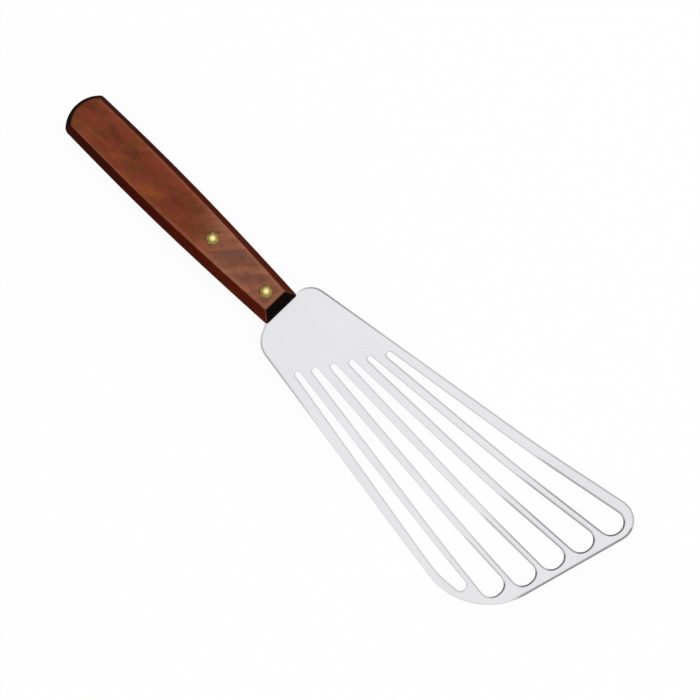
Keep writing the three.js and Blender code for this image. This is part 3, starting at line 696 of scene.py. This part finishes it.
# Handle: one bar of dense reddish hardwood with sloped flanks and eased edges, oiled and polished. A saw
# kerf from the front takes the tang, and each rivet has a bore with a counterbore in both flats. End grain
# drinks the finish and goes dark, and painted shade takes it to nearly black.
BUTT_X = -61.5
HANDLE_THICKNESS = 13.0
HANDLE_BAND = 3.0
HANDLE_BUTT_WIDTH = 21.45
BUTT_ROUND = 4.8
KERF_X = 11.7
KERF_HEIGHT = 1.3

# How far each flank or end slopes in from the band to the flat
BUTT_SLOPE = 2.8
FRONT_SLOPE = 3.75
FLANK_SLOPE_AT_BUTT = 2.4
FLANK_SLOPE_AT_FRONT = 3.1

# Eased edges and corners; shares count one from the band's side to the edge of the flat
EASE = 0.55
CORNER_EASE = 0.9
EASE_MARGIN = 0.05
FLANK_SHARES = (0.35, 0.65)

# Seats of the rivets, and the ring on the flat over which their painted shade fades
SEAT_RADIUS = 2.80
SEAT_DEPTH = 1.32
SEAT_CHAMFER = 0.06
SEAT_SHADE_RING = 0.2

# Fineness of the handle's mesh; the kerf's end is at the last point of the rear stretch
EASE_POINTS = 7
BUTT_POINTS = 22
REAR_POINTS = 44
LEAF_POINTS = 40
FRONT_POINTS = 10
SEAT_POINTS = 64
KERF_COLUMN = BUTT_POINTS + EASE_POINTS - 2 + REAR_POINTS - 1
SHARP_ANGLE = 40.0

# Marks for the wood: a painted highlight along the edges by share and place, end grain darkened by painted
# shade and the flanks' painted shade by facing, and the painted shade in the seats
HIGHLIGHT_FROM = 0.3
HIGHLIGHT_REACH = 0.25
HIGHLIGHT_X = (-57.0, -50.0)
END_FACING = (0.45, 0.75)
FLANK_FACING = (0.1, 0.45)
SEAT_SHADE = 0.07


def eased(before, corner, after):
    """An eased corner: a parabola's arc between two points, tangent to their lines to the corner."""
    share = np.linspace(0, 1, EASE_POINTS)
    return before * (1 - share) ** 2 + 2 * corner * share * (1 - share) + after * share ** 2


def half_width(x):
    """Half width of the handle: a parabola's arc from the butt to the widest place, then the taper."""
    before_widest = np.maximum(HANDLE_WIDEST_X - x, 0) / (HANDLE_WIDEST_X - BUTT_X - BUTT_ROUND)
    swell = (HANDLE_WIDEST - (HANDLE_WIDEST - HANDLE_BUTT_WIDTH) * before_widest ** 2) / 2
    return np.where(x < HANDLE_WIDEST_X, swell, taper_half_width(np.maximum(x, HANDLE_WIDEST_X)))


def handle_rings(shares):
    """Outlines of the handle seen from above, one row for each share of the slopes by which it is pulled
    in. Each runs from the middle of the round butt along the right side, across the front and back along
    the left side. The butt is an arc, the sides follow half_width, the front is straight, and the four
    corners are eased."""
    pull = shares[:, None]
    butt_corner_x = BUTT_X + BUTT_ROUND
    butt_radius = ((HANDLE_BUTT_WIDTH / 2) ** 2 + BUTT_ROUND ** 2) / (2 * BUTT_ROUND)
    centre_x = BUTT_X + butt_radius
    radius = butt_radius - pull * BUTT_SLOPE
    corner_turn = np.arcsin((HANDLE_BUTT_WIDTH / 2 - pull * FLANK_SLOPE_AT_BUTT) / radius)
    butt_corner = centre_x - radius * np.exp(-1j * corner_turn)
    front_x = FRONT_X - pull * FRONT_SLOPE
    front_corner = front_x + 1j * (HANDLE_FRONT_WIDTH / 2 - pull * FLANK_SLOPE_AT_FRONT)
    rear = np.linspace(butt_corner_x + CORNER_EASE, KERF_X, REAR_POINTS)
    leaf = np.linspace(KERF_X, FRONT_X - CORNER_EASE, LEAF_POINTS)[1:]
    station = np.concatenate([rear, leaf])
    along = (station - butt_corner_x) / (FRONT_X - butt_corner_x)
    slope = FLANK_SLOPE_AT_BUTT + (FLANK_SLOPE_AT_FRONT - FLANK_SLOPE_AT_BUTT) * along
    side_x = butt_corner.real + (front_x - butt_corner.real) * along
    side = side_x + 1j * (half_width(station) - pull * slope)
    butt_turn = (corner_turn - CORNER_EASE / radius) * np.linspace(0, 1, BUTT_POINTS)
    butt = centre_x - radius * np.exp(-1j * butt_turn)
    rear_corner = eased(butt[:, -1:], butt_corner, side[:, :1])[:, 1:-1]
    front_start = front_corner - 1j * CORNER_EASE
    leaf_corner = eased(side[:, -1:], front_corner, front_start)[:, 1:-1]
    front = front_start + (front_x - front_start) * np.linspace(0, 1, FRONT_POINTS)
    left = np.concatenate([butt, rear_corner, side, leaf_corner, front], 1)
    return np.concatenate([np.conj(left), left[:, -2:0:-1]], 1)


def handle_levels():
    """Section of the upper half as share + i height, from the kerf up: the band's side, the sloped flank
    and the rim of the flat, with both edges eased. Also gives how much painted highlight each row has: a
    smooth ramp over the upper eased edge to the flat's rim."""
    band_top = (HANDLE_THICKNESS + HANDLE_BAND) / 2
    rise = HANDLE_THICKNESS - band_top
    run = (FLANK_SLOPE_AT_BUTT + FLANK_SLOPE_AT_FRONT) / 2
    on_flank = EASE / np.hypot(rise, run)
    on_flat = EASE / run
    flank = np.array([on_flank + EASE_MARGIN, *FLANK_SHARES, 1 - on_flank - EASE_MARGIN])
    slope = flank + 1j * (band_top + flank * rise)
    lower_edge = eased(1j * (band_top - EASE), 1j * band_top, on_flank + 1j * (band_top + on_flank * rise))
    upper_edge = eased(
        1 - on_flank + 1j * (HANDLE_THICKNESS - on_flank * rise),
        1 + 1j * HANDLE_THICKNESS,
        1 + on_flat + 1j * HANDLE_THICKNESS,
    )
    kerf_top = 1j * (HANDLE_THICKNESS + KERF_HEIGHT) / 2
    flat = 1 + on_flat + EASE_MARGIN + 1j * HANDLE_THICKNESS
    levels = np.concatenate([[kerf_top], lower_edge, slope, upper_edge, [flat, flat + HIGHLIGHT_REACH]])
    ramp = smooth_step(HIGHLIGHT_FROM, 1, np.linspace(0, 1, EASE_POINTS))
    highlight = np.concatenate([np.zeros(1 + EASE_POINTS + len(flank)), ramp, [1, 0]])
    return levels, highlight


def mirrored(section):
    """A section turned upside down about the handle's middle, again from the bottom up."""
    return (section.real + 1j * (HANDLE_THICKNESS - section.imag))[::-1]


def lifted(rings, heights):
    """Points of flat rings, one row for each height."""
    return np.stack([rings.real, rings.imag, np.broadcast_to(heights[:, None], rings.shape)], -1)


def seat_walls():
    """Walls of the rivets' seats, from the bottom up: profiles of radius + i height turned about the
    rivets' axes. For each rivet the upper one, a bore, a counterbore with a small chamfer and a ring on
    the flat over which the seat's painted shade fades, comes before its mirror image."""
    kerf_top = (HANDLE_THICKNESS + KERF_HEIGHT) / 2
    floor = HANDLE_THICKNESS - SEAT_DEPTH
    chamfer = HANDLE_THICKNESS - SEAT_CHAMFER
    mouth = SEAT_RADIUS + SEAT_CHAMFER
    radii = [RIVET_HOLE_RADIUS, RIVET_HOLE_RADIUS, SEAT_RADIUS, SEAT_RADIUS, mouth, mouth + SEAT_SHADE_RING]
    heights = [kerf_top, floor, floor, chamfer, HANDLE_THICKNESS, HANDLE_THICKNESS]
    upper = np.array(radii) + 1j * np.array(heights)
    sunwise = np.conj(circle(SEAT_POINTS))
    profiles = [(x, profile) for x in RIVET_XS for profile in (upper, mirrored(upper))]
    return np.array([lifted(x + profile.real[:, None] * sunwise, profile.imag) for x, profile in profiles])


# Colours of the wood: behind, in front with a painted sheen, as painted shade on the flanks, as dark end
# grain with painted shade, as a painted highlight along the edges, in pores and in the tint of its gloss
WOOD_DARK = (0.120, 0.026, 0.0115)
WOOD_BROWN = (0.158, 0.041, 0.0138)
WOOD_RED = (0.192, 0.036, 0.0178)
WOOD_ORANGE = (0.236, 0.060, 0.0160)
WOOD_PALE_SHEEN = (0.212, 0.085, 0.053)
WOOD_FIGURE_SHEEN = (0.300, 0.115, 0.067)
WOOD_GREY_SHEEN = (0.160, 0.078, 0.060)
WOOD_FLANK_SHADE_REAR = (0.20, 0.10, 0.08)
WOOD_FLANK_SHADE = (0.38, 0.15, 0.07)
WOOD_END_AND_SHADE = (0.005, 0.0035, 0.003)
WOOD_EDGE_HIGHLIGHT = (0.33, 0.125, 0.075)
PORE = (0.022, 0.008, 0.005)
SHEEN = (1.0, 0.5, 0.36)

# Patterns in the wood: repeats per millimetre along each axis, then the turn about Z in radians
PATCHES = ((0.07, 0.12, 0.12), -0.3)
BLOTCHES = ((0.10, 0.17, 0.17), 0.5)
MOTTLE = ((0.28, 0.42, 0.42), 0.2)
FIGURE = ((0.035, 0.19, 0.05), np.radians(-47.0))
FIBRES = ((0.07, 3.4, 3.4), 0.0)
PORE_CELLS = ((0.62, 2.1, 2.1), 0.0)

# Ranges of a pattern over which a colour comes in, and shares and shades that they are carried to
RED_BLOTCHES = (0.36, 0.60)
ORANGE_PATCHES = (0.48, 0.72)
DARK_PATCHES = (0.46, 0.28)
DARK_SHARE = (0.0, 0.8)
PALE_BANDS = (0.50, 0.66)
GREY_BANDS = (0.46, 0.34)
SHEEN_SHARE = (0.08, 0.88)
FIBRE_SHADE = (0.93, 1.05)
MOTTLE_SHADE = (0.90, 1.10)
MIDDLE_SHADE = (0.88, 1.02)
FLANK_RED_SHARE = 0.6
FLANK_SHADE_SHARE = (0.0, 0.45)
HIGHLIGHT_SHARE = (0.28, 0.50)
HIGHLIGHT_BLOTCHES = (0.3, 0.6)
HIGHLIGHT_BLOTCH_SHARE = (0.5, 1.0)

# Pores: how far they reach in their cells, and from which chance a cell has one
PORE_REACH = (0.30, 0.16)
PORE_CHANCE = (0.86, 0.66)
PORE_SOFTNESS = 0.04
PORE_SHARE = 0.8

# Places over which the wood, its painted sheen and its painted shade change, in metres
SHEEN_X = (0.0, 0.036)
SHEEN_LEAN = 0.7
MIDDLE_Y = (0.002, 0.007)
PORE_X = (-0.03, 0.015)
FLANK_X = (-0.05, 0.05)
FLANK_SHADE_Z = (0.0085, 0.0045)

# Finish of the wood
WOOD_ROUGHNESS = (0.34, 0.42)
PORE_ROUGHNESS = 0.25
FLANK_ROUGHNESS = 0.4
END_ROUGHNESS = 0.5
FIBRE_HEIGHT = 0.35
WOOD_SPECULAR = 0.03


def open_pores(tree, place, x):
    """Short dark pores along the grain: the middles of stretched cells, of which those whose own number is
    high enough have one, more of them in front."""
    cells = {"vector": stretched(tree, place, *PORE_CELLS), "scale": 1.0, "randomness": 1.0}
    cell = add_node(tree, "ShaderNodeTexVoronoi", **cells).outputs
    number = add_node(tree, "ShaderNodeSeparateColor", color=cell["Color"]).outputs["Red"]
    least = ranged(tree, x, *PORE_X, *PORE_CHANCE)
    is_open = ranged(tree, number, least, sums(tree, "ADD", least, PORE_SOFTNESS))
    return sums(tree, "MULTIPLY", ranged(tree, cell["Distance"], *PORE_REACH), is_open)


def make_wood():
    """Oiled hardwood: mottled red and brown behind, paler in front with a painted sheen over bands of figure
    that run slantwise across the grain, a little darker along the middle with painted shade, with fine fibres
    and short dark pores along X; painted shade makes the flanks deeper red and darker low down and takes the
    dark end grain to near black, and a painted highlight makes the edges of the flats paler."""
    material, tree, place = new_material("oiled_hardwood")
    patches = noise(tree, place, *PATCHES, distortion=0.5)
    blotches = noise(tree, place, *BLOTCHES, distortion=0.6)
    mottle = noise(tree, place, *MOTTLE, detail=3.0, roughness=0.6)
    figure = noise(tree, place, *FIGURE, distortion=0.6)
    fibres = noise(tree, place, *FIBRES, detail=3.0, roughness=0.6)
    split = add_node(tree, "ShaderNodeSeparateXYZ", vector=place).outputs
    sheen_frontness = ranged(tree, raised(tree, split["X"], split["Y"], SHEEN_LEAN), *SHEEN_X)
    pores = open_pores(tree, place, split["X"])
    flank = read_mark(tree, "flank")
    end_grain = read_mark(tree, "end_grain")

    rear = mixed(tree, ranged(tree, blotches, *RED_BLOTCHES), WOOD_BROWN, WOOD_RED)
    rear = mixed(tree, ranged(tree, patches, *ORANGE_PATCHES), rear, WOOD_ORANGE)
    rear = mixed(tree, ranged(tree, patches, *DARK_PATCHES, *DARK_SHARE), rear, WOOD_DARK)
    # Painted sheen: the front's colours are bands of figure lifted by a painted reflection, mixed in towards
    # the front.
    front = mixed(tree, ranged(tree, figure, *PALE_BANDS), WOOD_PALE_SHEEN, WOOD_FIGURE_SHEEN)
    front = mixed(tree, ranged(tree, figure, *GREY_BANDS), front, WOOD_GREY_SHEEN)
    colour = mixed(tree, ranged(tree, sheen_frontness, 0.0, 1.0, *SHEEN_SHARE), rear, front)
    streaks_and_shade = ranged(tree, fibres, *NOISE_RANGE, *FIBRE_SHADE)
    streaks_and_shade = sums(tree, "MULTIPLY", streaks_and_shade, ranged(tree, mottle, *NOISE_RANGE, *MOTTLE_SHADE))
    # Painted shade: the flats a little darker along the middle than towards their edges.
    aside = sums(tree, "ABSOLUTE", split["Y"])
    streaks_and_shade = sums(tree, "MULTIPLY", streaks_and_shade, ranged(tree, aside, *MIDDLE_Y, *MIDDLE_SHADE))
    shade = add_node(tree, "ShaderNodeCombineColor", red=streaks_and_shade, green=streaks_and_shade, blue=streaks_and_shade).outputs["Color"]
    colour = mixed(tree, 1.0, colour, shade, "MULTIPLY")
    colour = mixed(tree, sums(tree, "MULTIPLY", pores, PORE_SHARE), colour, PORE)

    # Painted shade: the flanks deeper red, and darker towards their lower edges.
    flank_shade_tint = mixed(tree, ranged(tree, split["X"], *FLANK_X), WOOD_FLANK_SHADE_REAR, WOOD_FLANK_SHADE)
    shaded_flank = mixed(tree, 1.0, mixed(tree, FLANK_RED_SHARE, colour, WOOD_RED), flank_shade_tint, "MULTIPLY")
    shaded_flank = mixed(tree, ranged(tree, split["Z"], *FLANK_SHADE_Z, *FLANK_SHADE_SHARE), shaded_flank, WOOD_END_AND_SHADE)
    colour = mixed(tree, flank, colour, shaded_flank)
    # Painted highlight along the eased edges of the flats, stronger in front and broken by blotches.
    highlight = read_mark(tree, "worn_edge")
    highlight = sums(tree, "MULTIPLY", highlight, ranged(tree, sheen_frontness, 0.0, 1.0, *HIGHLIGHT_SHARE))
    highlight = sums(tree, "MULTIPLY", highlight, ranged(tree, blotches, *HIGHLIGHT_BLOTCHES, *HIGHLIGHT_BLOTCH_SHARE))
    colour = mixed(tree, highlight, colour, WOOD_EDGE_HIGHLIGHT)
    # End grain is dark in itself; painted shade takes it, and the rivets' seats, to near black.
    colour = mixed(tree, end_grain, colour, WOOD_END_AND_SHADE)

    rough = ranged(tree, fibres, *NOISE_RANGE, *WOOD_ROUGHNESS)
    rough = raised(tree, rough, pores, PORE_ROUGHNESS)
    rough = raised(tree, rough, flank, FLANK_ROUGHNESS)
    rough = raised(tree, rough, end_grain, END_ROUGHNESS)
    height = sums(tree, "SUBTRACT", sums(tree, "MULTIPLY", fibres, FIBRE_HEIGHT), pores)
    bump = bumped(tree, height, strength=0.25, depth=0.0001)
    gloss = {"specular_ior_level": WOOD_SPECULAR, "specular_tint": (*SHEEN, 1.0)}
    finish_surface(tree, base_color=colour, roughness=rough, normal=bump, **gloss)
    return material


def make_handle():
    """The bar: rings at all levels, joined by strips all round above and below the kerf and only behind its
    end between them. The two flats and the two faces of the kerf are filled round the rivets' seats."""
    upper, upper_highlight = handle_levels()
    levels = np.concatenate([mirrored(upper), upper])
    rings = handle_rings(levels.real)
    walls = seat_walls()
    points = np.concatenate([lifted(rings, levels.imag).reshape(-1, 3), walls.reshape(-1, 3)])
    plan = points[:, 0] + 1j * points[:, 1]
    at = np.arange(rings.size).reshape(rings.shape)
    seats = np.arange(rings.size, len(points)).reshape(walls.shape[:-1])
    upper_seats, lower_seats = seats[0::2], seats[1::2]

    lower_half, upper_half = np.split(at, 2)
    below, above = lower_half[-1], upper_half[0]
    behind = np.arange(-KERF_COLUMN, KERF_COLUMN + 1)
    rear_band = np.stack([below[behind[:-1]], below[behind[1:]], above[behind[1:]], above[behind[:-1]]], 1)
    kerf_end = np.array([[below[KERF_COLUMN], below[-KERF_COLUMN], above[-KERF_COLUMN], above[KERF_COLUMN]]])
    faces = [strips(lower_half), strips(upper_half), rear_band, kerf_end, *[strips(seat) for seat in seats]]
    leaf = slice(KERF_COLUMN, 1 - KERF_COLUMN)
    for outline, holes, faces_up in (
        (at[-1], upper_seats[:, -1], True),
        (above[leaf], upper_seats[:, 0], False),
        (below[leaf], lower_seats[:, -1], True),
        (at[0], lower_seats[:, 0], False),
    ):
        loops = [outline, *holes]
        triangles = np.concatenate(loops)[filled([plan[loop] for loop in loops], np.zeros(0, complex))]
        faces.append(triangles if faces_up else triangles[:, ::-1])

    handle = new_piece("sawn_handle", points, faces, make_wood())
    handle.data.set_sharp_from_angle(angle=np.radians(SHARP_ANGLE))
    normals = np.zeros(points.size, np.float32)
    handle.data.vertex_normals.foreach_get("vector", normals)
    normals = np.abs(normals.reshape(-1, 3))
    # Marks: painted shade in the seats and, by facing, on end grain and the flanks; a painted highlight along
    # the eased edges.
    in_seat = np.arange(len(points)) >= rings.size
    seat_shaded = in_seat.copy()
    seat_shaded[upper_seats[:, -1]] = False
    seat_shaded[lower_seats[:, 0]] = False
    end_grain = np.where(in_seat, SEAT_SHADE * seat_shaded, smooth_step(*END_FACING, normals[:, 0]))
    flank = np.where(in_seat, 0.0, smooth_step(*FLANK_FACING, 1 - normals[:, 2]))
    highlight_rows = np.repeat(np.append(upper_highlight[::-1], upper_highlight), rings.shape[1])
    worn_edge = np.append(highlight_rows, np.zeros(seats.size)) * smooth_step(*HIGHLIGHT_X, points[:, 0])
    add_mark(handle, "end_grain", end_grain)
    add_mark(handle, "flank", flank)
    add_mark(handle, "worn_edge", worn_edge)
    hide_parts("handle")


make_handle()


# Rivets: two brass compression rivets. In each a solid post, its domed head in the top flat, is driven into
# a tubular socket whose head sits in the underside. Their heads are polished brass, darkened towards the
# rims by a painted olive shade that stands in for the domes' falling reflection.
HEAD_RADIUS = 2.75
HEAD_SINK = 1.2
CROWN = 0.5
RIM_EASE = 0.18
POST_RADIUS = 1.45
POST_END_Z = 3.2
SOCKET_RADIUS = 2.0
SOCKET_BORE_RADIUS = 1.55
SOCKET_RIM_Z = 9.8
SOCKET_FLOOR_Z = 2.2
CROWN_POINTS = 14
RIVET_POINTS = 64
RIM_SHADE_SHARES = (0.05, 0.70)


def head_profile():
    """Side of a head as radius + i height over the flat: a short straight side, an eased rim and the arc of
    a low dome up to the axis."""
    dome_radius = (HEAD_RADIUS ** 2 + CROWN ** 2) / (2 * CROWN)
    rim_turn = np.arcsin((HEAD_RADIUS - RIM_EASE) / dome_radius)
    turn = rim_turn * np.linspace(1, 0, CROWN_POINTS)
    dome = dome_radius * np.sin(turn) + 1j * (CROWN - dome_radius * (1 - np.cos(turn)))
    rim = eased(HEAD_RADIUS - 1j * RIM_EASE, HEAD_RADIUS + 0j, dome[0])
    return np.concatenate([[HEAD_RADIUS - 1j * HEAD_SINK], rim, dome[1:]])


def turned_piece(name, axis_x, profile, material, node):
    """Closed surface of revolution about an upright axis. The profile, radius + i height, starts and ends
    on the axis, and its first and last points become the two poles. The painted rim shade grows with the
    radius."""
    rings = axis_x + profile.real[1:-1, None] * circle(RIVET_POINTS)
    wall = lifted(rings, profile.imag[1:-1]).reshape(-1, 3)
    poles = np.array([[axis_x, 0.0, profile[0].imag], [axis_x, 0.0, profile[-1].imag]])
    points = np.concatenate([wall, poles])
    at = np.arange(len(wall)).reshape(-1, RIVET_POINTS)
    beside = np.roll(at, -1, 1)
    first_fan = np.stack([beside[0], at[0], np.full(RIVET_POINTS, len(wall))], 1)
    last_fan = np.stack([at[-1], beside[-1], np.full(RIVET_POINTS, len(wall) + 1)], 1)
    piece = new_piece(name, points, [strips(at), first_fan, last_fan], material)
    # Painted shade: darker towards the head's rim.
    radius_share = np.hypot(points[:, 0] - axis_x, points[:, 1]) / HEAD_RADIUS
    add_mark(piece, "painted_rim_shade", smooth_step(*RIM_SHADE_SHARES, radius_share))
    piece.data.set_sharp_from_angle(angle=np.radians(SHARP_ANGLE))
    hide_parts(node)


# Brass: colours, the second a darker olive painted shade for the rims, cloudy pattern in repeats per
# millimetre, and the finish from polished to rougher
BRASS = (0.86, 0.70, 0.31)
BRASS_RIM_SHADE = (0.160, 0.110, 0.018)
CLOUDS = (0.9, 0.9, 0.9)
CLOUD_SHARE = (0.8, 1.0)
BRASS_SCRATCHES = 0.6
SCRATCH_POLISH = 0.15
BRASS_ROUGHNESS = (0.16, 0.42)


def make_brass():
    """Polished brass, with a darker olive painted shade towards the rim for the dome's falling reflection,
    uneven and broken by hairline scratches.
    """
    material, tree, place = new_material("worn_brass")
    cloud = noise(tree, place, CLOUDS, detail=4.0)
    marks = scratches(tree, place, BRASS_SCRATCHES)
    rim_shade_share = read_mark(tree, "painted_rim_shade")
    rim_shade_share = sums(tree, "MULTIPLY", rim_shade_share, ranged(tree, cloud, *NOISE_RANGE, *CLOUD_SHARE))
    rim_shade_share = sums(tree, "SUBTRACT", rim_shade_share, sums(tree, "MULTIPLY", marks, SCRATCH_POLISH))
    # Painted shade: olive towards the rims, standing in for the dome's darker reflection there.
    colour = mixed(tree, rim_shade_share, BRASS, BRASS_RIM_SHADE)
    rough = ranged(tree, rim_shade_share, 0.0, 1.0, *BRASS_ROUGHNESS)
    bump = bumped(tree, sums(tree, "SUBTRACT", cloud, marks), strength=0.1, depth=0.00003)
    finish_surface(tree, base_color=colour, metallic=1.0, roughness=rough, normal=bump)
    return material


brass = make_brass()
post_profile = np.concatenate([
    [1j * POST_END_Z, POST_RADIUS + 1j * POST_END_Z, POST_RADIUS + 1j * (HANDLE_THICKNESS - HEAD_SINK)],
    head_profile() + 1j * HANDLE_THICKNESS,
])
socket_profile = np.concatenate([
    np.conj(head_profile())[::-1],
    [SOCKET_RADIUS + 1j * HEAD_SINK, SOCKET_RADIUS + 1j * SOCKET_RIM_Z],
    [SOCKET_BORE_RADIUS + 1j * SOCKET_RIM_Z, SOCKET_BORE_RADIUS + 1j * SOCKET_FLOOR_Z],
    [1j * SOCKET_FLOOR_Z],
])
for rivet, rivet_x in zip(("front_rivet", "rear_rivet"), RIVET_XS):
    turned_piece(f"{rivet}_brass_post", rivet_x, post_profile, brass, f"{rivet}_post")
    turned_piece(f"{rivet}_brass_socket", rivet_x, socket_profile, brass, f"{rivet}_socket")


# Stage: a pale floor under the part, one wide soft light overhead with a weaker one beyond the blade's
# longer side, and a long lens nearly straight above, turned so that the handle points to the picture's
# upper left corner. Its sizes are in metres.
FLOOR_HALF = 6.0
CARD_WHITE = (0.9, 0.9, 0.9, 1.0)
GLOW_SHARE = 0.92
LIT_POINT = (0.08, 0.0, 0.0)
SOFT_BOXES = {
    "overhead_soft_box": {"place": (0.08, 0.0, 1.5), "size": (3.0, 3.0), "radiance": 0.69},
    "side_soft_box": {"place": (0.0, 1.6, 0.6), "size": (1.6, 0.8), "radiance": 0.8},
}
ROOM_GREY = (0.60, 0.60, 0.61, 1.0)
CAMERA_AZIMUTH = 45.26
CAMERA_ELEVATION = 79.0
CAMERA_DISTANCE = 1.1
CAMERA_TARGET = (0.09324, 0.00808, 0.0065)
PIXELS_PER_METRE = 2430.0
PICTURE_PIXELS = 700.0
SENSOR_MM = 36.0


def make_card():
    """White card: plain diffuse, with most of its white given to what the camera and mirror-like surfaces
    see, so that the part's soft shadow stays."""
    material, tree, _ = new_material("white_card")
    path = add_node(tree, "ShaderNodeLightPath").outputs
    seen = sums(tree, "MAXIMUM", path["Is Camera Ray"], path["Is Glossy Ray"])
    seen = sums(tree, "MAXIMUM", seen, path["Is Transmission Ray"])
    card = add_node(tree, "ShaderNodeBsdfDiffuse", color=CARD_WHITE).outputs["BSDF"]
    glow = add_node(tree, "ShaderNodeEmission", strength=1.0).outputs["Emission"]
    mix = tree.nodes.new("ShaderNodeMixShader")
    for socket, source in zip(mix.inputs, (sums(tree, "MULTIPLY", seen, GLOW_SHARE), card, glow)):
        feed(tree, socket, source)
    add_node(tree, "ShaderNodeOutputMaterial", surface=mix.outputs["Shader"])
    return material


def make_floor():
    """One square under the lowest point of the part."""
    floor_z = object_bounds()[0].z
    corners = [(x * FLOOR_HALF, y * FLOOR_HALF, floor_z) for x, y in ((-1, -1), (1, -1), (1, 1), (-1, 1))]
    mesh = bpy.data.meshes.new("floor")
    mesh.from_pydata(corners, [], [(0, 1, 2, 3)])
    mesh.materials.append(make_card())
    floor = new_object("floor", mesh)


make_floor()


def soft_light(name, place, size, radiance):
    """Rectangular soft box at a place, turned to the part. Its power is radiance times area times pi."""
    data = bpy.data.lights.new(name, "AREA")
    data.shape = "RECTANGLE"
    data.size, data.size_y = size
    data.energy = radiance * size[0] * size[1] * np.pi
    lamp = new_object(name, data)
    lamp.location = place
    lamp.rotation_euler = (Vector(LIT_POINT) - Vector(place)).to_track_quat("-Z", "Y").to_euler()


for box_name, box in SOFT_BOXES.items():
    soft_light(box_name, **box)

world = bpy.data.worlds.new("studio_room")
world.use_nodes = True
world.node_tree.nodes["Background"].inputs["Color"].default_value = ROOM_GREY
bpy.context.scene.world = world

camera_data = bpy.data.cameras.new("camera")
camera_data.sensor_width = SENSOR_MM
camera_data.lens = SENSOR_MM * PIXELS_PER_METRE * CAMERA_DISTANCE / PICTURE_PIXELS
camera = new_object("camera", camera_data)
turn, rise = np.radians([CAMERA_AZIMUTH, CAMERA_ELEVATION])
back = Vector((np.sin(turn) * np.cos(rise), -np.cos(turn) * np.cos(rise), np.sin(rise)))
camera.location = Vector(CAMERA_TARGET) + back * CAMERA_DISTANCE
camera.rotation_euler = (-back).to_track_quat("-Z", "Y").to_euler()
bpy.context.scene.camera = camera
bpy.context.scene.view_settings.view_transform = "Standard"
